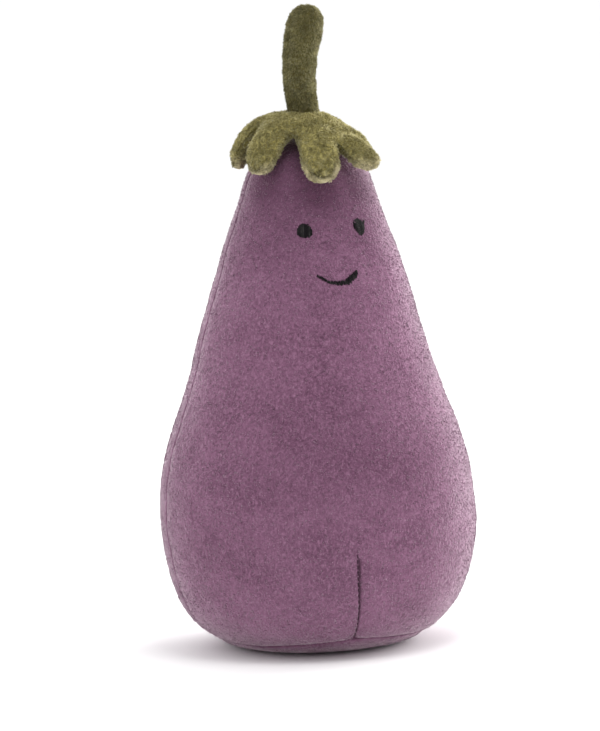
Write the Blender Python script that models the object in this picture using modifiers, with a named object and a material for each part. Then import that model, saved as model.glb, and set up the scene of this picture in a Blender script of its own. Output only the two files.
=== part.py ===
# A stuffed plush eggplant that stands upright on its own flat base.
# The body is two plush panels and a round base panel sewn round stuffing and a pellet bag,
# with a six-lobed padded calyx and a stuffed stem on top, and an embroidered face.
# Front is -Y, up is +Z, and the origin is the middle of the flat spot on the ground.

import math

import bmesh
import bpy
import numpy as np
from mathutils import Vector

MM = 0.001

# The half width of the body at each height, from the flat spot to the crown, in millimetres.
BODY_OUTLINE = (
    (31.5, 0.0),
    (38.9, 2.0),
    (45.4, 5.6),
    (51.9, 10.2),
    (56.6, 16.0),
    (59.9, 22.8),
    (63.1, 34.2),
    (64.9, 46.0),
    (65.2, 57.0),
    (63.9, 71.0),
    (60.7, 83.6),
    (56.4, 96.0),
    (51.9, 108.0),
    (48.0, 120.0),
    (45.2, 132.0),
    (41.5, 144.8),
    (37.6, 157.1),
    (33.3, 169.4),
    (28.9, 181.7),
    (26.7, 189.5),
    (24.4, 195.2),
    (20.8, 200.2),
    (15.6, 204.2),
    (9.5, 206.4),
    (4.0, 207.0),
)
BASE_SEAM_STATION = 2
BODY_DEPTH_SHARE = 0.92
PLUSH = 2.0 * MM
GAP = 0.3 * MM

PANEL_COLUMNS = 24
PANEL_ROWS = 24
COLUMN_CROWDING = 0.45

SEAM_DEPTH = 1.0 * MM
SEAM_WIDTH = 3.2 * MM
DART_DEPTH = 0.8 * MM
DART_WIDTH = 2.6 * MM
DART_TOP = 44.3 * MM
DART_FADE = 0.35
PINCH_FADE_RADIUS = 12.0 * MM

PELLET_BAG_TOP = 17.0 * MM
PELLET_BAG_SIDES = (8.0 * MM, 13.0 * MM)
PELLET_BAG_FLAT_SHARE = 0.9
STUFFING_INSET = 3.2 * MM
STUFFING_SHOULDER = 197.0 * MM
STUFFING_ROWS = 15
FILLING_STEPS = 28
FILLING_ROUNDING = 0.8

# Six lobes, each with its turn from the front in degrees, its length from the axis over
# the crown, how far its tip stands off the body and how far its middle humps up, in
# millimetres.
LOBES = (
    (-6.0, 42.4, 0.3, 0.2),
    (35.0, 41.8, 3.4, -2.4),
    (108.0, 41.6, 0.6, 0.0),
    (176.0, 42.4, 0.3, 0.6),
    (241.0, 38.0, 0.8, 1.6),
    (300.0, 39.6, 1.0, 1.2),
)
LOBE_HALF_WIDTH = 8.3
LOBE_ROUND_TIP = 8.6
NOTCH_ROUND = 1.6
STAND_OFF_SLANT = 0.8
# The middle of the calyx, between its two fabrics: radius and height along one lobe.
CALYX_LINE = (
    (7.7, 213.8),
    (12.0, 212.3),
    (17.0, 209.2),
    (21.5, 205.5),
    (25.2, 201.4),
    (27.6, 197.0),
    (28.7, 192.6),
    (28.9, 188.0),
)
CALYX_HALF_COLUMNS = 7
CALYX_RINGS = 7
RING_CROWDING = 0.85
CROWN_DEPTH = 25.0 * MM
CALYX_FABRIC = 1.7 * MM
CALYX_PUFF = 1.2 * MM
CALYX_EDGE_ROUND = 5.0
THINNEST_EDGE = 0.35
WADDING = 0.6 * MM
WADDING_HALF_COLUMNS = 4
WADDING_RINGS = 5
WADDING_REACH = 0.74

# The stem's middle line as (right, back, height) with its radius, in millimetres.
STEM_LINE = (
    (-0.3, 0.0, 212.8, 6.7),
    (-0.7, 0.0, 216.5, 6.8),
    (-1.2, 0.1, 222.0, 7.0),
    (-1.9, 0.2, 230.0, 7.2),
    (-1.6, 0.3, 239.2, 7.8),
    (-0.4, 0.2, 246.5, 8.1),
    (0.9, 0.0, 252.5, 8.3),
)
STEM_TIP_HEIGHT = 261.6
STEM_TIP_LEAN = 0.12
STEM_TIP_FLATNESS = 0.35
STEM_PLUSH = 1.8 * MM
STEM_CLEARANCE = 0.45 * MM
STEM_RINGS = 12
STEM_DOME_RINGS = 4
STEM_ROUND_POINTS = 5

EYE_HEIGHT = 172.1 * MM
EYE_RADIUS = 3.0 * MM
EYE_TOP_SHARE = 0.72
EYE_SIDES = 24
EYE_PROUD = 0.7 * MM
EYE_CLEARANCE = 0.48 * MM
EYE_TURN = 22.0
FACE_TURN = 2.0

MOUTH_HEIGHT = 150.5 * MM
MOUTH_RISE = 4.0 * MM
MOUTH_MIDDLE_TURN = 0.4
MOUTH_TURN = 13.0
MOUTH_THREAD = 0.6 * MM
MOUTH_CLEARANCE = 0.4 * MM
MOUTH_POINTS = 17

PURPLE = (0.30, 0.15, 0.24, 1.0)
GREEN = (0.22, 0.19, 0.075, 1.0)
BLACK = (0.012, 0.010, 0.012, 1.0)
FILLING_WHITE = (0.85, 0.84, 0.80, 1.0)


def smooth_line(points, count=400):
    """A smooth curve through the points, as an array of evenly spaced places."""
    given = np.array(points, float)
    ends = np.vstack([2 * given[0] - given[1], given, 2 * given[-1] - given[-2]])
    fine = []
    for start in range(len(given) - 1):
        before, a, b, after = ends[start : start + 4]
        for share in np.linspace(0, 1, 40, endpoint=False):
            fine.append(
                a
                + 0.5 * share * (b - before)
                + share**2 * (before - 2.5 * a + 2 * b - 0.5 * after)
                + share**3 * (1.5 * (a - b) + 0.5 * (after - before))
            )
    fine.append(given[-1])
    fine = np.array(fine)
    travelled = np.concatenate([[0], np.cumsum(np.linalg.norm(np.diff(fine, axis=0), axis=1))])
    even = np.linspace(0, travelled[-1], count)
    return np.column_stack([np.interp(even, travelled, axis) for axis in fine.T])


def resampled(line, shares):
    """The places at these shares, 0 to 1, of an evenly spaced line."""
    stations = np.linspace(0, 1, len(line))
    return [tuple(np.interp(share, stations, axis) for axis in line.T) for share in shares]


def crowded_at_ends(count):
    """Shares from 0 to 1 that are closer together near both ends."""
    even = np.linspace(0, 1, count + 1)
    return 0.55 * even + 0.45 * (1 - np.cos(math.pi * even)) / 2


BODY_LINE = smooth_line(BODY_OUTLINE) * MM
SEAM_SHARE = float(
    np.argmin(np.hypot(*(BODY_LINE - np.array(BODY_OUTLINE[BASE_SEAM_STATION]) * MM).T))
) / (len(BODY_LINE) - 1)


def body_radius(height):
    return float(np.interp(height, BODY_LINE[:, 1], BODY_LINE[:, 0]))


def body_slope(height):
    """How much the half width grows for each metre of height."""
    step = MM
    return (body_radius(height + step) - body_radius(height - step)) / (2 * step)


def seam_pinch(turn, radius, height):
    """How far the side seams and the two darts pull the fabric in at this place."""
    from_side = abs(abs(math.remainder(turn, math.tau)) - math.pi / 2) * radius
    from_middle = abs(math.remainder(turn, math.pi)) * radius
    pinch = SEAM_DEPTH * math.exp(-((from_side / SEAM_WIDTH) ** 2))
    if height < DART_TOP:
        fade = min(1.0, (DART_TOP - height) / (DART_FADE * DART_TOP))
        pinch += fade * DART_DEPTH * math.exp(-((from_middle / DART_WIDTH) ** 2))
    return pinch * min(1.0, radius / PINCH_FADE_RADIUS)


def body_place(turn, radius, height):
    """A point of the body's skin. The turn runs from the front towards the right."""
    pulled = radius - seam_pinch(turn, radius, height)
    return Vector(
        (
            pulled * math.sin(turn),
            -BODY_DEPTH_SHARE * pulled * math.cos(turn),
            height,
        )
    )


def turn_of(place):
    """The turn of a place round Z, from the front towards the right."""
    return math.atan2(place.x, -place.y)


def spun_sheet(line, steps, sweep=math.tau, start=0.0):
    """An open line of (radius, height) points turned round Z from the turn start."""
    sheet = bmesh.new()
    points = [
        sheet.verts.new((radius * math.sin(start), -radius * math.cos(start), height))
        for radius, height in line
    ]
    edges = [sheet.edges.new(pair) for pair in zip(points, points[1:])]
    bmesh.ops.spin(
        sheet,
        geom=points + edges,
        cent=(0, 0, 0),
        axis=(0, 0, 1),
        angle=sweep,
        steps=steps,
    )
    bmesh.ops.remove_doubles(sheet, verts=sheet.verts, dist=0.01 * MM)
    return sheet


def crowded(turn):
    """Moves a column of points towards the nearest side seam or dart."""
    return turn - COLUMN_CROWDING * math.sin(4 * turn) / 4


def material(name, colour, roughness):
    made = bpy.data.materials.new(name)
    made.use_nodes = True
    shader = made.node_tree.nodes["Principled BSDF"]
    shader.inputs["Base Color"].default_value = colour
    shader.inputs["Roughness"].default_value = roughness
    shader.inputs["Metallic"].default_value = 0.0
    made.diffuse_color = colour
    return made


def piece(name, shape, finish, collection):
    """A named object from a bmesh, smooth shaded."""
    mesh = bpy.data.meshes.new(name)
    shape.to_mesh(mesh)
    shape.free()
    made = bpy.data.objects.new(name, mesh)
    made.data.materials.append(finish)
    made.data.shade_smooth()
    collection.objects.link(made)
    return made


def face_outwards(sheet, outwards):
    """Turns the sheet's faces to the side that the function of a place points to."""
    bmesh.ops.recalc_face_normals(sheet, faces=sheet.faces)
    sheet.normal_update()
    agreeing = sum(
        face.normal.dot(outwards(face.calc_center_median())) for face in sheet.faces
    )
    if agreeing < 0:
        bmesh.ops.reverse_faces(sheet, faces=sheet.faces)


def thicken(made, thickness, offset=-1.0):
    """Gives a sheet its wall. An offset of -1 puts the wall inside the sheet."""
    wall = made.modifiers.new("fabric thickness", "SOLIDIFY")
    wall.thickness = thickness
    wall.offset = offset
    wall.use_even_offset = False
    return wall


def body_panel(name, middle_turn, finish, collection):
    """One of the two body panels, from side seam to side seam."""
    shares = SEAM_SHARE + (1 - SEAM_SHARE) * crowded_at_ends(PANEL_ROWS)
    line = resampled(BODY_LINE, shares)
    sheet = spun_sheet(line, PANEL_COLUMNS, math.pi, middle_turn - math.pi / 2)
    for vert in sheet.verts:
        turn = turn_of(vert.co)
        radius = math.hypot(vert.co.x, vert.co.y)
        vert.co = body_place(crowded(turn), radius, vert.co.z)
        if abs(math.cos(turn)) < 1e-4:
            vert.co.y = math.copysign(GAP / 2, -math.cos(middle_turn))
    face_outwards(sheet, lambda place: Vector((place.x, place.y, 0)))
    made = piece(name, sheet, finish, collection)
    thicken(made, PLUSH)
    return made


def base_panel(finish, collection):
    """The round panel under the body, flat in its middle where the toy stands."""
    seam_row = round(SEAM_SHARE * (len(BODY_LINE) - 1))
    rim = [tuple(place) for place in BODY_LINE[seam_row - 1 : 0 : -6]]
    flat = BODY_OUTLINE[0][0] * MM
    line = rim + [(flat, 0.0), (0.5 * flat, 0.0), (0.0, 0.0)]
    sheet = spun_sheet(line, 2 * PANEL_COLUMNS)
    for vert in sheet.verts:
        turn = crowded(turn_of(vert.co))
        radius = math.hypot(vert.co.x, vert.co.y)
        level = Vector((math.sin(turn), -BODY_DEPTH_SHARE * math.cos(turn), 0)) * radius
        level.z = vert.co.z
        outer = min(1.0, max(0.0, (radius - flat) / (rim[0][0] - flat)))
        vert.co = level.lerp(body_place(turn, radius, vert.co.z), outer)
    face_outwards(sheet, lambda place: Vector((0, 0, -1)))
    made = piece("base_panel", sheet, finish, collection)
    thicken(made, PLUSH)
    return made


def inner_radius(height):
    """The half width of what fills the body, clear of the fabric and its seams."""
    return body_radius(height) - STUFFING_INSET * math.hypot(1, body_slope(height))


def filling(name, line, finish, collection):
    """A closed filling turned from a line that runs between two points of the axis."""
    solid = spun_sheet(line, FILLING_STEPS)
    for vert in solid.verts:
        vert.co.y *= BODY_DEPTH_SHARE
    bmesh.ops.recalc_face_normals(solid, faces=solid.faces)
    return piece(name, solid, finish, collection)


def pellet_bag(finish, collection):
    bottom = PLUSH + GAP
    flat = PELLET_BAG_FLAT_SHARE * BODY_OUTLINE[0][0] * MM
    sides = [(inner_radius(height) - PLUSH, height) for height in np.linspace(*PELLET_BAG_SIDES, 3)]
    line = [(0.0, bottom), (flat, bottom), *sides]
    line += [(FILLING_ROUNDING * sides[-1][0], PELLET_BAG_TOP - MM), (0.0, PELLET_BAG_TOP)]
    return filling("pellet_bag", line, finish, collection)


def body_stuffing(finish, collection):
    bottom = PELLET_BAG_TOP + GAP
    heights = np.linspace(bottom + 2 * MM, STUFFING_SHOULDER, STUFFING_ROWS)
    sides = [(inner_radius(height), height) for height in heights]
    top = BODY_OUTLINE[-1][1] * MM - PLUSH - 2 * MM
    line = [(0.0, bottom), (FILLING_ROUNDING * sides[0][0], bottom), *sides, (0.0, top)]
    return filling("body_stuffing", line, finish, collection)


CALYX_CURVE = smooth_line(CALYX_LINE)
CALYX_STEPS = np.linalg.norm(np.diff(CALYX_CURVE, axis=0), axis=1)
CALYX_TRAVEL = CALYX_CURVE[0, 0] + np.concatenate([[0], np.cumsum(CALYX_STEPS)])


def half_turn_beside(index, side):
    """Half the angle from this lobe to its neighbour on that side, -1 or 1."""
    neighbour = LOBES[(index + side) % len(LOBES)][0]
    return 0.5 * abs(math.remainder(math.radians(neighbour - LOBES[index][0]), math.tau))


def lobe_outline(index, across):
    """A point of one lobe's edge in the flat pattern, as how far it lies beside the lobe's
    middle and how far from the stem's axis. Across runs from notch to notch, -1 to 1."""
    side = math.copysign(1, across)
    length = LOBES[index][1]
    round_start = length - LOBE_ROUND_TIP
    notch_radius = LOBE_HALF_WIDTH / half_turn_beside(index, int(side))
    notch = float(np.interp(notch_radius, CALYX_CURVE[:, 0], CALYX_TRAVEL))
    tip_run = 0.5 * math.pi * 0.5 * (LOBE_HALF_WIDTH + LOBE_ROUND_TIP)
    side_run = round_start - notch
    run = abs(across) * (tip_run + side_run)
    if run < tip_run:
        slant = 0.5 * math.pi * run / tip_run
        beside = LOBE_HALF_WIDTH * math.sin(slant)
        return side * beside, round_start + LOBE_ROUND_TIP * math.cos(slant)
    return side * LOBE_HALF_WIDTH, round_start - (run - tip_run)


def edge_distance(index, beside, travel):
    """How far a point of the flat pattern lies inside the calyx's edge."""
    round_start = LOBES[index][1] - LOBE_ROUND_TIP
    past = max(0.0, travel - round_start) / LOBE_ROUND_TIP
    in_lobe = LOBE_HALF_WIDTH * (1 - math.hypot(past, beside / LOBE_HALF_WIDTH))
    side = 1 if beside > 0 else -1
    notch_radius = LOBE_HALF_WIDTH / half_turn_beside(index, side)
    notch = float(np.interp(notch_radius, CALYX_CURVE[:, 0], CALYX_TRAVEL))
    return max(in_lobe, notch + NOTCH_ROUND - travel, 0.0)


def calyx_place(index, beside, travel):
    """The point of the calyx's middle sheet for a point of the flat pattern."""
    turn, length, lift, hump = LOBES[index]
    radius = float(np.interp(travel, CALYX_TRAVEL, CALYX_CURVE[:, 0]))
    height = float(np.interp(travel, CALYX_TRAVEL, CALYX_CURVE[:, 1]))
    share = min(1.0, max(0.0, (travel - CALYX_TRAVEL[0]) / (length - CALYX_TRAVEL[0])))
    stand_off = lift * share + hump * math.sin(math.pi * share)
    turned = math.radians(turn) + beside / radius
    out = (radius + STAND_OFF_SLANT * stand_off) * MM
    up = (height + STAND_OFF_SLANT * stand_off) * MM
    return Vector((out * math.sin(turned), -out * math.cos(turned), up))


def calyx_normal(index, beside, travel):
    """The direction straight out of the calyx's middle sheet."""
    step = 0.2
    place = calyx_place(index, beside, travel)
    along = calyx_place(index, beside, travel + step) - place
    sideways = calyx_place(index, beside + step, travel) - place
    return sideways.cross(along).normalized() * -1


def calyx_sheet(reach, side, half_columns=CALYX_HALF_COLUMNS, rings=CALYX_RINGS):
    """The draped six-lobed sheet on one side, -1 or 1, of the calyx's middle, or in the
    middle with side 0. Gives the sheet and how full each of its points is, 0 to 1."""
    line = [((1 + ring) * MM, 0.0) for ring in range(rings + 1)]
    columns = 2 * half_columns * len(LOBES)
    sheet = spun_sheet(line, columns)
    hole = CALYX_TRAVEL[0]
    fullness = {}
    for vert in sheet.verts:
        ring_share = max(0.0, math.hypot(vert.co.x, vert.co.y) / MM - 1) / rings
        column = round(turn_of(vert.co) / math.tau * columns)
        index = (column + half_columns) // (2 * half_columns) % len(LOBES)
        across = math.remainder(column / columns - index / len(LOBES), 1) * 2 * len(LOBES)
        half_turn = half_turn_beside(index, 1 if across > 0 else -1)
        edge_beside, edge_travel = lobe_outline(index, across)
        share = ring_share**RING_CROWDING * reach
        travel = hole + share * (edge_travel - hole)
        start_beside = across * half_turn * hole
        beside = start_beside + share * (edge_beside - start_beside)
        inside = min(1.0, edge_distance(index, beside, travel) / CALYX_EDGE_ROUND)
        round_edge = math.sqrt(1 - (1 - inside) ** 2)
        fullness[vert.index] = max(THINNEST_EDGE, round_edge)
        lift = side * (GAP / 2 + CALYX_PUFF * round_edge)
        out = calyx_normal(index, beside, travel)
        vert.co = calyx_place(index, beside, travel) + out * lift
    crown = Vector((0, 0, CALYX_LINE[0][1] * MM - CROWN_DEPTH))
    face_outwards(sheet, lambda place: place - crown)
    return sheet, fullness


def calyx_layer(name, side, finish, collection):
    """One fabric of the calyx, thinner towards its edge."""
    sheet, fullness = calyx_sheet(1.0, side)
    made = piece(name, sheet, finish, collection)
    group = made.vertex_groups.new(name="fullness")
    for index, weight in fullness.items():
        group.add([index], weight, "REPLACE")
    wall = thicken(made, CALYX_FABRIC, side)
    wall.vertex_group = group.name
    return made


def calyx(green, white, collection):
    """Upper fabric, lower fabric and a thin layer of wadding between them."""
    calyx_layer("calyx_upper", 1, green, collection)
    calyx_layer("calyx_lower", -1, green, collection)
    middle, _ = calyx_sheet(WADDING_REACH, 0, WADDING_HALF_COLUMNS, WADDING_RINGS)
    thicken(piece("calyx_wadding", middle, white, collection), WADDING, 0.0)


def stem_curve(name, shrink, foot, collection):
    """A round-ended tube along the stem's bent middle line, thinner by shrink."""
    line = smooth_line(STEM_LINE) * MM
    places = resampled(line, np.linspace(0, 1, STEM_RINGS))
    end = Vector(places[-1][:3])
    tip = STEM_TIP_HEIGHT * MM - shrink - end.z
    full = places[-1][3] - shrink
    rings = [(Vector(place[:3]), place[3] - shrink) for place in places]
    rings[0] = (rings[0][0] + Vector((0, 0, foot)), rings[0][1])
    for ring in range(1, STEM_DOME_RINGS + 1):
        slant = 0.5 * math.pi * ring / (STEM_DOME_RINGS + STEM_TIP_FLATNESS)
        lean = Vector((STEM_TIP_LEAN, 0, 1)) * tip * math.sin(slant)
        rings.append((end + lean, full * math.cos(slant)))
    data = bpy.data.curves.new(name, "CURVE")
    data.dimensions = "3D"
    data.bevel_depth = 1.0
    data.bevel_resolution = STEM_ROUND_POINTS
    data.use_fill_caps = True
    spline = data.splines.new("POLY")
    spline.points.add(len(rings) - 1)
    for point, (place, radius) in zip(spline.points, rings):
        point.co = (*place, 1.0)
        point.radius = radius
    made = bpy.data.objects.new(name, data)
    collection.objects.link(made)
    return made


def as_mesh(curve, collection):
    """The curve's tube as a bmesh with its caps welded. The curve is removed."""
    bpy.context.view_layer.update()
    tube = curve.evaluated_get(bpy.context.evaluated_depsgraph_get())
    mesh = bpy.data.meshes.new_from_object(tube)
    shape = bmesh.new()
    shape.from_mesh(mesh)
    bmesh.ops.remove_doubles(shape, verts=shape.verts, dist=0.01 * MM)
    bpy.data.meshes.remove(mesh)
    collection.objects.unlink(curve)
    bpy.data.objects.remove(curve)
    return shape


def stem(green, white, collection):
    """The stem's plush cover, closed at its tip and open at its foot, and what fills it."""
    cover = as_mesh(stem_curve("cover", 0.0, 0.0, collection), collection)
    cover.normal_update()
    foot = [face for face in cover.faces if face.normal.z < -0.9]
    bmesh.ops.delete(cover, geom=foot, context="FACES")
    thicken(piece("stem_cover", cover, green, collection), STEM_PLUSH)
    rod = as_mesh(stem_curve("rod", STEM_PLUSH + STEM_CLEARANCE, GAP, collection), collection)
    piece("stem_stuffing", rod, white, collection)


def skin_place(turn, height):
    """A point of the body's skin and the direction straight out of it."""
    place = body_place(turn, body_radius(height), height)
    right = body_place(turn + 0.01, body_radius(height), height) - place
    above = height + MM
    up = body_place(turn, body_radius(above), above) - place
    return place, right.cross(up).normalized()


def eye(name, turn, finish, collection):
    """A round satin-stitched patch, slightly domed."""
    place, out = skin_place(math.radians(turn), EYE_HEIGHT)
    patch = bmesh.new()
    bmesh.ops.create_cone(
        patch,
        cap_ends=True,
        segments=EYE_SIDES,
        radius1=EYE_RADIUS,
        radius2=EYE_TOP_SHARE * EYE_RADIUS,
        depth=EYE_PROUD,
    )
    made = piece(name, patch, finish, collection)
    made.rotation_mode = "QUATERNION"
    made.rotation_quaternion = out.to_track_quat("Z", "Y")
    made.location = place + out * (EYE_CLEARANCE + EYE_PROUD / 2)
    return made


def mouth(finish, collection):
    """One line of stitching that curves upwards at both ends."""
    data = bpy.data.curves.new("mouth_stitching", "CURVE")
    data.dimensions = "3D"
    data.bevel_depth = MOUTH_THREAD
    data.bevel_resolution = 2
    data.use_fill_caps = True
    spline = data.splines.new("POLY")
    spline.points.add(MOUTH_POINTS - 1)
    for point, across in zip(spline.points, np.linspace(-1, 1, MOUTH_POINTS)):
        turn = math.radians(MOUTH_MIDDLE_TURN + MOUTH_TURN * across)
        height = MOUTH_HEIGHT + MOUTH_RISE * across**2
        place, out = skin_place(turn, height)
        point.co = (*(place + out * (MOUTH_CLEARANCE + MOUTH_THREAD)), 1.0)
    made = bpy.data.objects.new("mouth_stitching", data)
    data.materials.append(finish)
    collection.objects.link(made)
    return made


def main():
    for old in list(bpy.data.objects):
        bpy.data.objects.remove(old)
    toy = bpy.data.collections.new("plush_eggplant")
    bpy.context.scene.collection.children.link(toy)
    purple = material("purple_plush", PURPLE, 0.95)
    green = material("green_plush", GREEN, 0.95)
    thread = material("black_thread", BLACK, 0.55)
    white = material("white_filling", FILLING_WHITE, 1.0)

    body_panel("body_front", 0.0, purple, toy)
    body_panel("body_back", math.pi, purple, toy)
    base_panel(purple, toy)
    pellet_bag(white, toy)
    body_stuffing(white, toy)
    calyx(green, white, toy)
    stem(green, white, toy)
    eye("eye_stitching_right", FACE_TURN - EYE_TURN, thread, toy)
    eye("eye_stitching_left", FACE_TURN + EYE_TURN, thread, toy)
    mouth(thread, toy)


main()
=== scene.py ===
# A stuffed plush eggplant on its sewn base: skin, calyx, stem, stitched face and pile.
import math

import bpy
import numpy as np
from mathutils import Matrix, Vector
from mathutils.kdtree import KDTree


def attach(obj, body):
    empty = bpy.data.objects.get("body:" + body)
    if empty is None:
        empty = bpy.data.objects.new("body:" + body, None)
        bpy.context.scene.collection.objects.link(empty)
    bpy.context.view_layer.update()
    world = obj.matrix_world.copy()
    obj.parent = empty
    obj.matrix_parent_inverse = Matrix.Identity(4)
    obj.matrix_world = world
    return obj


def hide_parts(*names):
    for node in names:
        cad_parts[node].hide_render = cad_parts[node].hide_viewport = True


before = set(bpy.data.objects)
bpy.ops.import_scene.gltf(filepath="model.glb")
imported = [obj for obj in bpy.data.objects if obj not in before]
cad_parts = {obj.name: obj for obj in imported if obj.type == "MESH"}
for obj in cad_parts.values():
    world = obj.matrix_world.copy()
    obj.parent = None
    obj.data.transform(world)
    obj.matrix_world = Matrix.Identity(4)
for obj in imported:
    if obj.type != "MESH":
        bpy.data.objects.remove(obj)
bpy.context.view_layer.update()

mm = 0.001
print("frame loaded:", len(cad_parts), "nodes")


def clearChoice():
    active = bpy.context.view_layer.objects.active
    if active and active.mode != "OBJECT":
        bpy.ops.object.mode_set(mode="OBJECT")
    bpy.ops.object.select_all(action="DESELECT")


def choose(piece):
    clearChoice()
    piece.select_set(True)
    bpy.context.view_layer.objects.active = piece


def editMode(piece, kind="VERT"):
    choose(piece)
    bpy.ops.object.mode_set(mode="EDIT")
    bpy.ops.mesh.select_mode(type=kind)


def objectMode():
    bpy.ops.object.mode_set(mode="OBJECT")


def faceOutwards():
    # in edit mode: turns every face outwards, then leaves the mode
    bpy.ops.mesh.select_all(action="SELECT")
    bpy.ops.mesh.normals_make_consistent(inside=False)
    objectMode()


def readPoints(piece, what):
    values = np.empty(3 * len(piece.data.vertices))
    piece.data.vertices.foreach_get(what, values)
    return values.reshape(-1, 3)


def pointsOf(piece):
    return readPoints(piece, "co")


def normalsOf(piece):
    return readPoints(piece, "normal")


def movePoints(piece, places):
    piece.data.vertices.foreach_set("co", np.ascontiguousarray(places).ravel())
    piece.data.update()


def pushOut(piece, distance):
    # moves each point along its normal, by metres
    movePoints(piece, pointsOf(piece) + normalsOf(piece) * distance[:, None])


def unit(vectors):
    return vectors / np.linalg.norm(vectors, axis=1)[:, None]


def selectPoints(piece, mask):
    # picks points in object mode, for the next edit-mode operator
    data = piece.data
    data.vertices.foreach_set("select", np.asarray(mask, bool))
    data.edges.foreach_set("select", np.zeros(len(data.edges), bool))
    data.polygons.foreach_set("select", np.zeros(len(data.polygons), bool))


# three places from which a mesh's points are numbered by distance, none on an axis of the toy
numberingPlaces = ((0.31, -0.17, 0.45), (-0.13, -0.22, 0.05), (0.11, 0.19, 0.31))


def settleOrder(piece):
    # extruding numbers points and faces anew in each run, so here they are numbered by distance
    for corner in numberingPlaces:
        bpy.context.scene.cursor.location = corner
        editMode(piece)
        bpy.ops.mesh.select_all(action="SELECT")
        bpy.ops.mesh.sort_elements(type="CURSOR_DISTANCE", elements={"VERT", "EDGE", "FACE"})
        objectMode()
    # new pieces are made at the cursor, so it goes back
    bpy.context.scene.cursor.location = (0, 0, 0)


def markPoints(piece, name, mask):
    # a vertex group that holds the points of the mask
    group = piece.vertex_groups.new(name=name)
    group.add([int(point) for point in np.flatnonzero(mask)], 1.0, "REPLACE")


def startRing(name, count, radius, place=(0, 0, 0)):
    # a circle of points in edit mode, all chosen, from which a form is pulled
    clearChoice()
    bpy.ops.mesh.primitive_circle_add(vertices=count, radius=radius, location=place)
    piece = bpy.context.object
    piece.name = name
    bpy.ops.object.transform_apply()
    editMode(piece)
    bpy.ops.mesh.select_all(action="SELECT")
    return piece


def nextRing(grow, step=(0, 0, 0)):
    # in edit mode: pulls a new ring out of the chosen one
    bpy.ops.mesh.extrude_region_move(TRANSFORM_OT_translate={"value": step})
    bpy.ops.transform.resize(value=(grow, grow, 1))


def closeRing(piece, mask, shares=()):
    # draws the ring that the mask names in to one point, which closes the form
    selectPoints(piece, mask)
    editMode(piece)
    for share in shares:
        nextRing(share)
    bpy.ops.mesh.merge(type="CENTER")
    faceOutwards()
    settleOrder(piece)


def applyModifier(piece, name, kind, **settings):
    choose(piece)
    modifier = piece.modifiers.new(name, kind)
    for setting, value in settings.items():
        setattr(modifier, setting, value)
    bpy.ops.object.modifier_apply(modifier=modifier.name)


def subdivide(piece, levels):
    applyModifier(piece, "smooth fabric", "SUBSURF", levels=levels, render_levels=levels)


def shareMap(piece, name, values):
    # a number for each point that the material reads as an attribute
    layer = piece.data.attributes.new(name, "FLOAT", "POINT")
    layer.data.foreach_set("value", np.asarray(values, np.float32))


def runAlong(points):
    # how far along a line each of its points is
    return np.concatenate([[0], np.cumsum(np.linalg.norm(np.diff(points, axis=0), axis=1))])


def smoothLine(points, count=400):
    # an evenly spaced curve through the given points
    given = np.array(points, float)
    ends = np.vstack([2 * given[0] - given[1], given, 2 * given[-1] - given[-2]])
    fine = []
    for start in range(len(given) - 1):
        before, first, second, after = ends[start:start + 4]
        for share in np.linspace(0, 1, 40, endpoint=False):
            fine.append(
                first
                + 0.5 * share * (second - before)
                + share**2 * (before - 2.5 * first + 2 * second - 0.5 * after)
                + share**3 * (1.5 * (first - second) + 0.5 * (after - before))
            )
    fine = np.array(fine + [given[-1]])
    travelled = runAlong(fine)
    even = np.linspace(0, travelled[-1], count)
    return np.column_stack([np.interp(even, travelled, axis) for axis in fine.T])


def bell(distance, width):
    return np.exp(-((distance / width) ** 2))


def softStep(value):
    value = np.clip(value, 0, 1)
    return value * value * (3 - 2 * value)


def wrapTurn(turn):
    return (turn + math.pi) % (2 * math.pi) - math.pi


def waves(places, size, seed, count=14):
    # smooth unevenness from a few random plane waves, about -1 to 1
    random = np.random.default_rng(seed)
    total = np.zeros(len(places))
    for _ in range(count):
        way = random.normal(size=3)
        way /= np.linalg.norm(way)
        length = size * random.uniform(0.7, 1.5)
        total += np.sin(places @ way * 2 * math.pi / length + random.uniform(0, 6.3))
    return total / math.sqrt(count)


def stuff(piece, sewn, pressure, stretch, mostSwell, frames=20):
    # swells a cover with filling by cloth simulation, held where it is sewn
    start = pointsOf(piece)
    markPoints(piece, "sewn", sewn)
    choose(piece)
    cloth = piece.modifiers.new("filling", "CLOTH")
    feel = cloth.settings
    feel.quality = 6
    feel.mass = 0.3
    feel.tension_stiffness = stretch
    feel.compression_stiffness = stretch
    feel.shear_stiffness = 0.4 * stretch
    feel.bending_stiffness = 0.5
    feel.use_pressure = True
    feel.uniform_pressure_force = pressure
    feel.effector_weights.gravity = 0
    feel.vertex_group_mass = "sewn"
    cloth.collision_settings.use_collision = False
    cloth.point_cache.frame_start = 1
    cloth.point_cache.frame_end = frames
    for moment in range(1, frames + 1):
        bpy.context.scene.frame_set(moment)
    bpy.ops.object.modifier_apply(modifier=cloth.name)
    bpy.context.scene.frame_set(1)
    moved = pointsOf(piece) - start
    reach = np.linalg.norm(moved, axis=1)
    print("  swelled by up to", round(reach.max() / mm, 2), "mm, capped at", round(mostSwell / mm, 2))
    moved *= np.minimum(1, mostSwell / np.maximum(reach, 1e-9))[:, None]
    movePoints(piece, start + moved)
    piece.vertex_groups.remove(piece.vertex_groups["sewn"])


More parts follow.
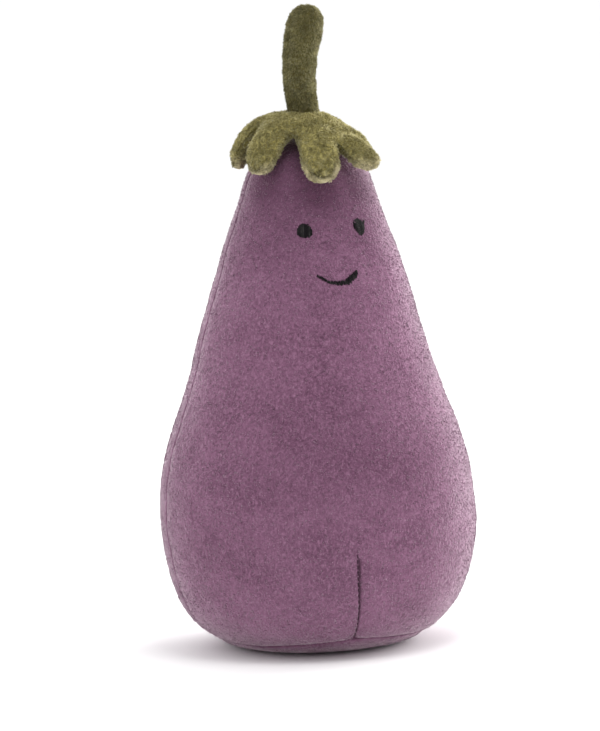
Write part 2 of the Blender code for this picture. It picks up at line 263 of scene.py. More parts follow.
# a shader socket that takes part in Python expressions
class Wire:
    def __init__(self, tree, socket):
        self.tree = tree
        self.socket = socket

    def maths(self, operation, first, second):
        return addNode(self.tree, "ShaderNodeMath", {"operation": operation}, {0: first, 1: second})

    def __add__(self, other):
        return self.maths("ADD", self, other)

    def __radd__(self, other):
        return self.maths("ADD", other, self)

    def __rsub__(self, other):
        return self.maths("SUBTRACT", other, self)

    def __mul__(self, other):
        return self.maths("MULTIPLY", self, other)

    def __rmul__(self, other):
        return self.maths("MULTIPLY", other, self)

    def __pow__(self, other):
        return self.maths("POWER", self, other)


def addNode(tree, kind, settings=None, values=None, output=0):
    # one node: its settings first, then the values or links of its sockets
    node = tree.nodes.new(kind)
    for setting, value in (settings or {}).items():
        setattr(node, setting, value)
    for name, value in (values or {}).items():
        if isinstance(value, Wire):
            tree.links.new(value.socket, node.inputs[name])
        else:
            node.inputs[name].default_value = value
    return Wire(tree, node.outputs[output])


def mixColour(tree, share, first, second):
    settings = {"data_type": "RGBA", "blend_type": "MIX", "clamp_factor": True}
    return addNode(tree, "ShaderNodeMix", settings, {0: share, 6: first, 7: second}, 2)


def newMaterial(name):
    made = bpy.data.materials.new(name)
    made.use_nodes = True
    return made, made.node_tree, made.node_tree.nodes["Principled BSDF"]


def dress(tree, shader, colour, height, strength, relief, surface):
    # links a material's colour and its bumps, and sets the rest of its surface
    bump = addNode(tree, "ShaderNodeBump", {}, {"Strength": strength, "Distance": relief, "Height": height})
    tree.links.new(colour.socket, shader.inputs["Base Color"])
    tree.links.new(bump.socket, shader.inputs["Normal"])
    for name, value in surface.items():
        shader.inputs[name].default_value = value


def scaledPlace(tree, stretch=(1, 1, 1)):
    place = addNode(tree, "ShaderNodeTexCoord", output="Object")
    return addNode(tree, "ShaderNodeMapping", {"vector_type": "POINT"}, {"Vector": place, "Scale": stretch})


def noiseOn(tree, place, size, detail=2.0, rough=0.5, twist=0.0):
    # noise whose blobs are about size metres across, curled by twist
    return addNode(tree, "ShaderNodeTexNoise", {}, {
        "Vector": place, "Scale": 1 / size, "Detail": detail, "Roughness": rough, "Distortion": twist})


def spread(tree, wire, low, high):
    return addNode(tree, "ShaderNodeMapRange", {"clamp": True}, {
        "Value": wire, "From Min": low, "From Max": high, "To Min": 0.0, "To Max": 1.0})


purpleVelour = {
    "deep": (0.105, 0.043, 0.080, 1),
    "middle": (0.208, 0.092, 0.161, 1),
    "pale": (0.500, 0.275, 0.410, 1),
    "seam": (0.030, 0.014, 0.022, 1),
    "patchSize": 0.022, "curlSize": 0.0021, "grainSize": 0.0008,
    "patchShare": 0.36, "curlShare": 0.52, "grainShare": 0.60,
    "ground": 0.10,  # painted shade: how much darker the fabric is between its tufts and at each tuft's foot
    "darkTufts": 0.70, "paintedTipLight": 1.0,
    "relief": 0.0005,
    "sheen": 1.0,
    "sheenTint": (1.0, 0.84, 0.93, 1),
}
greenVelour = {
    "deep": (0.105, 0.088, 0.024, 1),
    "middle": (0.670, 0.585, 0.190, 1),
    "pale": (0.930, 0.840, 0.480, 1),
    "rim": (0.950, 0.830, 0.560, 1),
    "seam": (0.045, 0.036, 0.010, 1),
    "patchSize": 0.007, "curlSize": 0.0022, "grainSize": 0.0008,
    "patchShare": 0.25, "curlShare": 0.45, "grainShare": 0.30,
    "ground": 0.45,
    "darkTufts": 0.70, "paintedTipLight": 0.50,
    "relief": 0.0009,
    "sheen": 0.40,
    "sheenTint": (0.95, 0.93, 0.70, 1),
}
stemVelour = dict(greenVelour)
stemVelour.update({
    "deep": (0.075, 0.064, 0.020, 1),
    "middle": (0.190, 0.167, 0.052, 1),
    "pale": (0.560, 0.510, 0.240, 1),
    "curlShare": 0.35,
    "darkTufts": 0.85, "paintedTipLight": 0.80,
})


def readShare(tree, name):
    return addNode(tree, "ShaderNodeAttribute", {"attribute_name": name}, output="Fac")


def velour(name, look, seamAttribute=None, rimAttribute=None, pile=False):
    # short pile: soft patches where it is brushed two ways, curls, fine grain and a bright rim
    made, tree, shader = newMaterial(name)
    level = scaledPlace(tree, (1, 1, 1.4))
    brushed = scaledPlace(tree, (1, 1, 0.5))
    patch = spread(tree, noiseOn(tree, level, look["patchSize"], 2.0, 0.5), 0.34, 0.66)
    curl = spread(tree, noiseOn(tree, level, look["curlSize"], 1.5, 0.6, 1.6), 0.32, 0.68)
    grain = spread(tree, noiseOn(tree, brushed, look["grainSize"], 2.0, 0.75), 0.30, 0.70)
    shade = 0.06 + look["patchShare"] * patch + look["curlShare"] * curl + look["grainShare"] * grain
    colour = mixColour(tree, shade, look["deep"], look["middle"])
    lit = look["grainShare"] * (grain ** 2.0) * curl + 0.06 * patch
    colour = mixColour(tree, lit, colour, look["pale"])
    # painted shade and painted light, together with darker and paler tones of the nap, are mixed in from the
    # mesh
    colour = mixColour(tree, readShare(tree, "napToneAndPaintedShade"), colour, look["deep"])
    colour = mixColour(tree, readShare(tree, "napToneAndPaintedLight"), colour, look["pale"])
    if rimAttribute:
        colour = mixColour(tree, 0.8 * readShare(tree, rimAttribute), colour, look["rim"])
    if pile:
        # painted shade darkens each tuft at its foot and painted light brightens its tip; each tuft also has
        # its own random tone
        tip = readShare(tree, "tipShare")
        own = readShare(tree, "tuftShade")
        colour = mixColour(tree, look["ground"] * (1.0 - tip), colour, look["deep"])
        colour = mixColour(tree, look["darkTufts"] * ((1.0 - own) ** 2.0), colour, look["deep"])
        colour = mixColour(tree, look["paintedTipLight"] * own * tip, colour, look["pale"])
    else:
        # painted shade between the tufts, laid over the whole fabric
        colour = mixColour(tree, look["ground"], colour, look["deep"])
    if seamAttribute:
        colour = mixColour(tree, readShare(tree, seamAttribute), colour, look["seam"])
    dress(tree, shader, colour, 0.4 * grain + 0.6 * curl, 0.6, look["relief"], {
        "Roughness": 0.95, "Specular IOR Level": 0.12,
        "Sheen Weight": look["sheen"], "Sheen Roughness": 0.35, "Sheen Tint": look["sheenTint"]})
    return made


faceThread = {"dark": (0.003, 0.002, 0.003, 1), "light": (0.090, 0.084, 0.082, 1), "strand": 0.0003}
dartThread = {"dark": (0.020, 0.008, 0.014, 1), "light": (0.070, 0.030, 0.052, 1), "strand": 0.0003}


def stitchThread(name, look):
    # satin thread with fine strands, some of them paler as painted highlights
    made, tree, shader = newMaterial(name)
    strands = spread(tree, noiseOn(tree, scaledPlace(tree), look["strand"], 2.0), 0.35, 0.7)
    colour = mixColour(tree, strands * readShare(tree, "threadShade"), look["dark"], look["light"])
    dress(tree, shader, colour, strands, 0.4, 0.0001, {"Roughness": 0.6, "Specular IOR Level": 0.12})
    return made


def fibreFilling(name, deep, pale, size):
    # white filling and the cloth of the pellet bag
    made, tree, shader = newMaterial(name)
    tuft = spread(tree, noiseOn(tree, scaledPlace(tree), size, 4.0, 0.65), 0.3, 0.7)
    colour = mixColour(tree, tuft, deep, pale)
    dress(tree, shader, colour, tuft, 0.7, 0.0008, {"Roughness": 1.0, "Sheen Weight": 0.3})
    return made


def finish(piece, material, replaced):
    # what every finished piece needs: its material, its body and the nodes it stands for
    piece.data.materials.clear()
    piece.data.materials.append(material)
    choose(piece)
    bpy.ops.object.shade_smooth()
    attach(piece, "root")
    if replaced:
        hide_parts(*replaced)
    print("made", piece.name, "with", len(piece.data.polygons), "faces")


# the body's skin, with its side seams, darts and base seam
bodyCover = {
    # half width and height of the body's outline, in millimetres
    "outline": (
        (31.5, 0.0), (38.9, 2.0), (45.4, 5.6), (51.9, 10.2), (56.6, 16.0), (59.9, 22.8), (63.1, 34.2),
        (64.9, 46.0), (65.2, 57.0), (63.9, 71.0), (60.7, 83.6), (56.4, 96.0), (51.9, 108.0),
        (48.0, 120.0), (45.2, 132.0), (41.5, 144.8), (37.6, 157.1), (33.3, 169.4), (28.9, 181.7),
        (26.7, 189.5), (24.4, 195.2), (20.8, 200.2), (15.6, 204.2), (9.5, 206.4), (4.0, 207.0),
    ),
    "depthShare": 0.92,
    "columns": 88,
    "crowding": 0.66,
    "rowStep": 5.2,  # mm between rows, away from the base seam
    "seamRows": (1.1, 2.4, 4.3, 7.2),  # mm from the base seam
    "usualSeam": 5.3,  # mm up to the base seam in the unfitted form
    # turn in degrees and height in mm of the seam round the base
    "baseSeam": (
        (-180, 5.2), (-120, 4.6), (-80, 3.6), (-50, 3.7), (-28, 5.2), (-15, 5.9), (-7, 6.7),
        (0, 7.3), (9, 6.9), (30, 5.4), (48, 4.5), (90, 5.2), (180, 5.2),
    ),
    "slack": 0.5,  # mm that the unstuffed cover is smaller
    "pressure": 300.0,
    "stretch": 8.0,
    "mostSwell": 1.4,
    "sideSeamDip": 0.5, "sideSeamDipWidth": 3.0,
    "sideSeamCut": 0.5, "sideSeamCutWidth": 0.4,
    # height in mm and turn in degrees of the dart
    "dartTop": 44.3, "dartLine": ((8.0, -0.4), (20.1, -0.8), (31.7, -1.9), (44.3, -2.7)),
    "dartDip": 0.8, "dartDipWidth": 2.6,
    "dartCut": 0.9, "dartCutWidth": 0.50,
    "dartStitch": 2.4,  # mm from one stitch of the dart to the next
    "baseDip": 0.5, "baseDipWidth": 2.0,
    "baseCut": 0.9, "baseCutWidth": 0.5,
    "pullStep": 2.3,  # mm from one pull of the dart's thread to the next
    # small slanting puckers beside the dart: how deep, how far apart and how far beside it,
    # then their height and tallness, in mm
    "puckerDepth": 0.32, "puckerStep": 2.1, "puckerBeside": 2.0, "puckerHeight": 13.5, "puckerTall": 6.5,
    # how far the filling bulges to +X, at what height and over what tallness, in mm
    "bulges": ((1.0, 38, 17), (-0.45, 125, 32)),
    # darker patches: how strong, height and tallness in mm, turn and width in radians
    "patches": ((0.25, 82, 30, -0.2, 0.7), (0.16, 158, 22, -0.6, 0.6)),
    "crownHeight": 190, "crownTall": 24, "paintedCrownShade": 0.60,  # painted shade under the calyx
    "lobeShadowHeight": 186, "lobeShadowWidth": 6.0, "paintedShadowStrength": 0.45,  # and painted shadow round its lobes' tips
    "lumps": 0.35,  # mm of hand-stuffed unevenness
    "fixedAbove": 206.5, "heldAbove": 202.0,  # heights in mm of the rows that don't slide or swell
}
onGround = 1e-7  # metres; what is lower belongs to the flat spot
bodyLine = smoothLine(bodyCover["outline"])
bodyRun = runAlong(bodyLine)
flatRadius = bodyCover["outline"][0][0]


def bodyRadius(height):
    # half width in metres at a height in metres
    return np.interp(height / mm, bodyLine[:, 1], bodyLine[:, 0]) * mm


def baseSeamHeight(turn):
    # in metres, smoothed over a few degrees
    turns, heights = np.array(bodyCover["baseSeam"], float).T
    degrees = np.degrees(wrapTurn(turn))
    besides = (-9, -4, 0, 4, 9)
    total = sum(np.interp((degrees + side + 180) % 360 - 180, turns, heights) for side in besides)
    return total / len(besides) * mm


def buildBodyForm():
    # rings pulled up from the edge of the flat spot, one for each row
    look = bodyCover
    seamRun = float(np.interp(look["usualSeam"], bodyLine[:, 1], bodyRun))
    below = [seamRun - step for step in reversed(look["seamRows"]) if seamRun - step > 0.8]
    above = [seamRun + step for step in look["seamRows"]]
    rest = np.arange(above[-1] + 4.2, bodyRun[-1] - 2.0, look["rowStep"])
    runs = [0.0, *below, seamRun, *above, *rest, bodyRun[-1]]
    radii = np.interp(runs, bodyRun, bodyLine[:, 0])
    heights = np.interp(runs, bodyRun, bodyLine[:, 1])
    cover = startRing("body_cover", look["columns"], radii[0] * mm, (0, 0, heights[0] * mm))
    for row in range(1, len(runs)):
        nextRing(radii[row] / radii[row - 1], (0, 0, (heights[row] - heights[row - 1]) * mm))
    bpy.ops.mesh.merge(type="CENTER")
    objectMode()
    closeRing(cover, np.abs(pointsOf(cover)[:, 2]) < 1e-6, (0.72, 0.55, 0.4))
    return cover, seamRun


def fitSeamRows(turn, height, seamRun):
    # slides the rows along the outline so that one follows the base seam
    run = np.interp(height / mm, bodyLine[:, 1], bodyRun)
    seamHere = np.interp(baseSeamHeight(turn) / mm, bodyLine[:, 1], bodyRun)
    farUp = 45.0
    low = run * seamHere / seamRun
    high = farUp - (farUp - run) * (farUp - seamHere) / (farUp - seamRun)
    slid = np.where(run < seamRun, low, np.where(run < farUp, high, run))
    slid = np.where(height < onGround, run, slid)
    return np.interp(slid, bodyRun, bodyLine[:, 0]) * mm, np.interp(slid, bodyRun, bodyLine[:, 1]) * mm


def dartTurn(height):
    heights, turns = np.array(bodyCover["dartLine"]).T
    return np.radians(np.interp(height / mm, heights, turns))


def seamDistances(turn, radius, height):
    # metres from the side seams and the darts, and signed metres above the base seam
    side = np.abs(np.abs(wrapTurn(turn)) - math.pi / 2) * radius
    front = wrapTurn(turn - dartTurn(height))
    back = wrapTurn(turn - math.pi + dartTurn(height))
    dart = np.where(np.abs(front) < np.abs(back), front, back) * radius
    seamAt = baseSeamHeight(turn)
    run = np.interp(height / mm, bodyLine[:, 1], bodyRun)
    base = (run - np.interp(seamAt / mm, bodyLine[:, 1], bodyRun)) * mm
    inward = np.maximum(0, flatRadius * mm - radius)
    return side, dart, base - inward


def turnAndRadius(places):
    depth = -places[:, 1] / bodyCover["depthShare"]
    return np.arctan2(places[:, 0], depth), np.hypot(places[:, 0], depth)


def placeRound(turn, radius, height):
    return np.column_stack([
        radius * np.sin(turn), -bodyCover["depthShare"] * radius * np.cos(turn), height])


def makeBody():
    look = bodyCover
    cover, seamRun = buildBodyForm()
    places = pointsOf(cover)
    turn, radius = np.arctan2(places[:, 0], -places[:, 1]), np.hypot(places[:, 0], places[:, 1])
    height = places[:, 2].copy()
    turn = turn - look["crowding"] * np.sin(4 * turn) / 4
    outer = height > onGround
    slidRadius, slidHeight = fitSeamRows(turn, height, seamRun)
    slides = outer & (height <= look["fixedAbove"] * mm)
    radius = np.where(slides, slidRadius, radius)
    height = np.where(slides, slidHeight, height)
    # columns near the front and back middle lean along their dart
    lean = bell(np.sin(turn) * radius, 22 * mm) * (1 - softStep((height / mm - 40) / 30))
    turn = turn + lean * dartTurn(height) * np.where(np.cos(turn) > 0, 1, -1)
    side, dart, base = seamDistances(turn, np.maximum(radius, 1e-5), height)
    fade = np.minimum(1, radius / (12 * mm))
    smaller = look["slack"] * mm * np.clip(base / (9 * mm), 0, 1) * fade
    pinch = 0.5 * look["sideSeamDip"] * mm * bell(side, look["sideSeamDipWidth"] * mm) * fade
    swollen = 1 - bell(side, 9 * mm)
    radius = radius - smaller * swollen - pinch * (base > 0)
    movePoints(cover, placeRound(turn, radius, height))
    sewn = (base < 0.4 * mm) | (side < 0.3 * mm) | (height > look["heldAbove"] * mm)
    sewn |= (np.abs(dart) < 0.5 * mm) & (height < look["dartTop"] * mm)
    stuff(cover, sewn, look["pressure"], look["stretch"], look["mostSwell"] * mm)
    subdivide(cover, 2)
    sculptBody(cover)
    return cover


def sculptBody(cover):
    # seams, darts, puckers and lumps, then the shades of the seams, painted shade under the calyx, painted
    # shadow round its lobes, darker patches and painted light near the bottom
    look = bodyCover
    places = pointsOf(cover)
    turn, radius = turnAndRadius(places)
    height = places[:, 2]
    side, dart, base = seamDistances(turn, np.maximum(radius, 1e-5), height)
    fade = np.minimum(1, radius / (12 * mm))
    above = softStep(base / (1.5 * mm) + 0.5)
    dartShare = softStep((look["dartTop"] * mm - height) / (3.5 * mm)) * (base > -0.1 * mm)
    push = -0.5 * look["sideSeamDip"] * bell(side, look["sideSeamDipWidth"] * mm) * above * fade
    push -= look["sideSeamCut"] * bell(side, look["sideSeamCutWidth"] * mm) * above * fade
    push -= look["dartDip"] * bell(dart, look["dartDipWidth"] * mm) * dartShare
    pull = 0.75 + 0.25 * np.cos(height / mm * 2 * math.pi / look["pullStep"])
    push -= look["dartCut"] * bell(dart, look["dartCutWidth"] * mm) * dartShare * pull
    push -= look["baseDip"] * bell(base, look["baseDipWidth"] * mm)
    push -= look["baseCut"] * bell(base, look["baseCutWidth"] * mm)
    beside = -dart - look["puckerBeside"] * mm
    slant = (height + 0.9 * (-dart)) / mm
    pucker = bell(height - look["puckerHeight"] * mm, look["puckerTall"] * mm)
    pucker = bell(beside, 1.7 * mm) * pucker * (dart < 0)
    push += look["puckerDepth"] * pucker * np.sin(slant * 2 * math.pi / look["puckerStep"])
    lumps = look["lumps"] * waves(places, 46 * mm, 4) + 0.12 * waves(places, 15 * mm, 9)
    push += lumps * np.clip(base / (10 * mm), 0, 1) * fade
    pushOut(cover, push * mm)
    places = pointsOf(cover)
    shift = sum(out * bell(height / mm - middle, tall) for out, middle, tall in look["bulges"])
    places[:, 0] += shift * mm * softStep(height / (12 * mm))
    places[:, 2] = np.where(places[:, 2] < 0.02 * mm, 0, places[:, 2])
    movePoints(cover, places)
    shade = 0.75 * bell(dart, 0.42 * mm) * dartShare * (0.55 + 0.45 * pull)
    shade = np.maximum(shade, 0.7 * bell(base, 0.45 * mm))
    shade = np.maximum(shade, 0.45 * bell(side, 0.4 * mm) * above * fade)
    shareMap(cover, "seamShade", shade)
    # painted shade on the skin just under the calyx
    crown = bell(np.maximum(0, look["crownHeight"] * mm - height), look["crownTall"] * mm)
    crown *= np.where(height > 130 * mm, 1, 0)
    # painted shadow on the skin round the tip of each lobe of the calyx
    shadowRoundTips = np.zeros(len(places))
    for lobeTurn, length, _, _ in calyxPad["lobes"]:
        across = wrapTurn(turn - math.radians(lobeTurn)) * radius / mm
        below = height / mm - look["lobeShadowHeight"] - (calyxPad["lobes"][0][1] - length)
        shadowRoundTips = np.maximum(shadowRoundTips, bell(np.hypot(across / 1.3, below), look["lobeShadowWidth"]))
    dark = look["paintedCrownShade"] * crown + look["paintedShadowStrength"] * shadowRoundTips
    for share, middle, tall, patchTurn, wide in look["patches"]:
        dark += share * bell(height - middle * mm, tall * mm) * bell(turn - patchTurn, wide)
    shareMap(cover, "napToneAndPaintedShade", np.clip(dark, 0, 0.9))
    # painted light from the floor: paler towards the bottom
    shareMap(cover, "napToneAndPaintedLight", 0.09 * (1 - softStep(height / (62 * mm))))


# the padded calyx with six lobes
calyxPad = {
    # turn, length over the crown, how far the tip stands off and how far the middle humps up
    "lobes": (
        (-6.0, 42.4, 0.3, 0.2), (35.0, 41.8, 5.4, -3.0), (108.0, 41.6, 0.6, 0.0),
        (176.0, 42.4, 0.3, 0.6), (241.0, 38.6, 0.3, 2.0), (300.0, 39.6, 1.0, 1.2),
    ),
    "halfWidth": 8.3, "roundTip": 8.6,
    # radius and height of the calyx's middle along one lobe
    "line": (
        (0.0, 214.9), (4.0, 214.7), (7.7, 213.8), (12.0, 212.3), (17.0, 209.2), (21.5, 205.5),
        (25.2, 201.4), (27.6, 197.0), (28.7, 192.6), (28.9, 188.0),
    ),
    "tilt": 0.09,  # how much the crown of the calyx slopes down towards +X
    "halfColumns": 9,
    "rings": 15,
    "wall": 2.2,  # mm between the two fabrics at the edge
    "seamInside": 2.0,  # mm from the edge to the seam, on the upper side
    "rolledTurn": 37.0,  # the lobe whose lower fabric shows most, in degrees
    "narrower": 1.4,  # mm that the seam lies inside the lobe's outline
    "notchRound": 2.2,
    "wallPuff": 0.8,  # mm that the lower fabric bulges out past the seam
    "upperPuff": 1.9, "lowerPuff": 2.0, "puffReach": 7.5, "notchReach": 4.5,  # mm, and how far in it is full
    "pressure": 300.0, "stretch": 3.0, "mostSwell": 0.8,
    "clearance": 0.35,  # mm between the calyx and the body's skin
    "seamCut": 0.55,  # mm that the seam is drawn in
}
calyxLine = smoothLine(calyxPad["line"])
calyxTravel = runAlong(calyxLine)
innerRadius = 16.0  # mm, where the lobes part
# heights on the body's crown in mm: its skin's top, where the calyx rests, and where its side begins
crownTop, crownRest, crownEdge = 206.9, 207.6, 203.0
innerTravel = float(np.interp(innerRadius, calyxLine[:, 0], calyxTravel))


def flatRadiusOf(travel):
    # distance from the middle in the flat pattern, for a distance along the crown
    inner = np.interp(travel, calyxTravel, calyxLine[:, 0])
    return np.where(travel < innerTravel, inner, innerRadius + travel - innerTravel)


def travelOf(flat):
    inner = np.interp(flat, calyxLine[:, 0], calyxTravel)
    return np.where(flat < innerRadius, inner, innerTravel + flat - innerRadius)


def halfTurnBeside(index, side):
    lobes = calyxPad["lobes"]
    neighbour = lobes[(index + side) % len(lobes)][0]
    return 0.5 * abs(math.remainder(math.radians(neighbour - lobes[index][0]), math.tau))


def lobeEdge(index, across):
    # a point of one lobe's edge in the flat pattern; across runs from notch to notch, -1 to 1
    side = math.copysign(1, across)
    wide = calyxPad["halfWidth"] - calyxPad["narrower"]
    roundTip = calyxPad["roundTip"]
    roundStart = calyxPad["lobes"][index][1] - calyxPad["narrower"] - roundTip
    halfTurn = halfTurnBeside(index, int(side))
    notch = float(travelOf(np.array(calyxPad["halfWidth"] / halfTurn)))
    tipRun = 0.25 * math.pi * (wide + roundTip)
    whole = tipRun + roundStart - notch
    run = abs(across) * whole
    if run < tipRun:
        slant = 0.5 * math.pi * run / tipRun
        return side * wide * math.sin(slant), roundStart + roundTip * math.cos(slant)
    # the edge curves across to its neighbour's at the foot of the notch
    travel = roundStart - (run - tipRun)
    closing = max(0.0, 1 - (whole - run) / calyxPad["notchRound"]) ** 2
    bisector = halfTurn * float(flatRadiusOf(np.array(travel)))
    return side * (wide + closing * (bisector - wide)), travel


def lobeAt(angle):
    # the lobe that an angle belongs to, and how far the angle lies from the lobe's middle
    lobes = calyxPad["lobes"]
    away = np.array([wrapTurn(angle - math.radians(lobe[0])) for lobe in lobes])
    room = np.array([[halfTurnBeside(index, 1 if off > 0 else -1) for off in row]
                     for index, row in enumerate(away)])
    index = np.argmin(np.abs(away) / room, axis=0)
    return index, away[index, np.arange(len(angle))]


def standOff(index, travel):
    # how far a lobe's middle sheet stands off the crown
    _, length, lift, hump = np.array(calyxPad["lobes"])[index].T
    share = np.clip((travel - 7.7) / (length - 7.7), 0, 1)
    return lift * share + hump * np.sin(math.pi * share)


def drapedPlace(index, beside, travel):
    turn = np.array(calyxPad["lobes"])[index, 0]
    radius = np.interp(travel, calyxTravel, calyxLine[:, 0])
    height = np.interp(travel, calyxTravel, calyxLine[:, 1])
    past = np.maximum(0, travel - calyxTravel[-1])
    around = beside / np.maximum(radius, 0.01)
    # between two lobes their stand-offs run into each other
    neighbour = (index + np.where(around > 0, 1, -1)) % len(calyxPad["lobes"])
    room = 0.5 * np.abs(wrapTurn(np.radians(np.array(calyxPad["lobes"])[neighbour, 0] - turn)))
    between = 0.5 * softStep(np.abs(around) / room * 1.6 - 0.6)
    off = (1 - between) * standOff(index, travel) + between * standOff(neighbour, travel)
    turned = np.radians(turn) + around
    out = radius + 0.8 * off
    slope = calyxPad["tilt"] * out * np.sin(turned) * (1 - softStep((out - 15) / 12))
    level = height + 0.8 * off - past - slope
    return np.column_stack([out * np.sin(turned), -out * np.cos(turned), level]) * mm


def drape(places):
    # lays the flat pad over the crown, each point at its own distance from the middle sheet
    angle = np.arctan2(places[:, 0], -places[:, 1])
    flat = np.hypot(places[:, 0], places[:, 1]) / mm
    index, off = lobeAt(angle)
    travel = travelOf(flat)
    radius = np.interp(travel, calyxTravel, calyxLine[:, 0])
    beside = np.where(travel < innerTravel, off * radius, off * flat)
    middle = drapedPlace(index, beside, travel)
    step = 0.3
    along = drapedPlace(index, beside, travel + step) - drapedPlace(index, beside, travel - step)
    sideways = drapedPlace(index, beside + step, travel) - drapedPlace(index, beside - step, travel)
    normal = np.cross(along, sideways)
    normal[:, 2] = np.where(flat < 0.5, 1e-6, normal[:, 2])
    normal[flat < 0.5] = (0, 0, 1)
    normal = unit(normal)
    normal *= np.where((normal * middle).sum(1) + normal[:, 2] * 0.1 < 0, -1, 1)[:, None]
    return middle + normal * places[:, 2][:, None]


def pressOn(places):
    # flattens what would sink into the body's skin
    turn, radius = turnAndRadius(places)
    skin = bodyRadius(np.minimum(places[:, 2], crownTop * mm)) + calyxPad["clearance"] * mm
    low = (radius < skin) & (places[:, 2] < crownEdge * mm)
    pressed = placeRound(turn, np.maximum(radius, skin), places[:, 2])
    onTop = (places[:, 2] < crownRest * mm) & ~low & (radius < 20 * mm)
    result = np.where(low[:, None], pressed, places)
    result[onTop, 2] = crownRest * mm
    return result


def edgeDistance(places):
    # how far each point of the flat pattern lies inside the calyx's edge, in millimetres
    outline = []
    for index, lobe in enumerate(calyxPad["lobes"]):
        for across in np.linspace(-0.999, 0.999, 120):
            beside, travel = lobeEdge(index, across)
            flat = float(flatRadiusOf(np.array(travel)))
            angle = math.radians(lobe[0]) + beside / flat
            outline.append((flat * math.sin(angle), -flat * math.cos(angle)))
    outline = np.array(outline)
    level = places[:, :2] / mm
    return np.array([np.hypot(*(outline - point).T).min() for point in level])


def layOutPattern(pad, columns):
    # sets the rings out as the flat six-lobed pattern, and says which points are on its edge
    look = calyxPad
    lobes = look["lobes"]
    places = pointsOf(pad)
    flatPlaces = np.zeros_like(places)
    rim = np.zeros(len(places), bool)
    for point, place in enumerate(places):
        size = math.hypot(place[0], place[1]) / mm
        if size < 0.5:
            continue
        ring = round(size) - 1
        column = round(math.atan2(place[0], -place[1]) / math.tau * columns)
        index = (column + look["halfColumns"]) // (2 * look["halfColumns"]) % len(lobes)
        across = math.remainder(column / columns - index / len(lobes), 1) * 2 * len(lobes)
        halfTurn = halfTurnBeside(index, 1 if across > 0 else -1)
        edgeBeside, edgeTravel = lobeEdge(index, across)
        share = 1 - (1 - ring / look["rings"]) ** 1.35
        travel = share * edgeTravel
        flat = float(flatRadiusOf(np.array(travel)))
        edgeFlat = float(flatRadiusOf(np.array(edgeTravel)))
        startOff = across * halfTurn
        edgeOff = edgeBeside / edgeFlat
        off = startOff + (edgeOff - startOff) * share ** 1.5
        angle = math.radians(lobes[index][0]) + off
        flatPlaces[point] = (flat * math.sin(angle) * mm, -flat * math.cos(angle) * mm, 0)
        rim[point] = ring == look["rings"]
    return flatPlaces, rim


def makeCalyx():
    look = calyxPad
    columns = 2 * look["halfColumns"] * len(look["lobes"])
    # ring number n starts n + 1 mm from the middle, and is then set out in the flat pattern
    pad = startRing("calyx_pad", columns, mm)
    for ring in range(1, look["rings"] + 1):
        nextRing((1 + ring) / ring)
    objectMode()
    closeRing(pad, np.hypot(*pointsOf(pad)[:, :2].T) < 1.5 * mm)
    flatPlaces, rim = layOutPattern(pad, columns)
    movePoints(pad, flatPlaces)
    markPoints(pad, "rim", rim)
    inside = edgeDistance(flatPlaces)
    nearEdge = pad.vertex_groups.new(name="inside")
    for point, share in enumerate(np.clip(inside / 6, 0, 1)):
        nearEdge.add([point], float(share), "REPLACE")
    applyModifier(pad, "two fabrics", "SOLIDIFY", thickness=look["wall"] * mm, offset=0.0)
    places = pointsOf(pad)
    flat = np.hypot(places[:, 0], places[:, 1]) / mm
    wider = (look["puffReach"] - look["notchReach"]) * softStep((flat - innerRadius) / 8)
    reach = look["notchReach"] + wider
    full = np.clip(np.tile(inside, 2) / reach, 0, 1)
    roundness = np.sqrt(1 - (1 - full) ** 2)
    plump = look["upperPuff"] * (0.55 + 0.45 * softStep((flat - 15) / 9))  # flatter over the crown
    puff = np.where(places[:, 2] > 0, plump, -look["lowerPuff"])
    places[:, 2] += puff * roundness * mm
    movePoints(pad, places)
    editMode(pad)
    faceOutwards()
    places = pointsOf(pad)
    sewn = (weightsOf(pad, "rim") > 0.5) & (places[:, 2] > 0)
    markPoints(pad, "seam", sewn)
    markPoints(pad, "under", places[:, 2] < 0)
    stuff(pad, sewn, look["pressure"], look["stretch"], look["mostSwell"] * mm)
    subdivide(pad, 2)
    places = pointsOf(pad)
    normals = normalsOf(pad)
    rim = weightsOf(pad, "rim")
    puff = look["wallPuff"] * mm * softStep(rim) * (1 - weightsOf(pad, "seam") ** 2)
    places = pressOn(drape(places + normals * puff[:, None]))
    movePoints(pad, places)
    normals = normalsOf(pad)
    places = places + normals * (0.22 * mm * waves(places, 9 * mm, 21))[:, None]
    movePoints(pad, places)
    shadeCalyx(pad, rim)
    pad.vertex_groups.clear()
    return pad


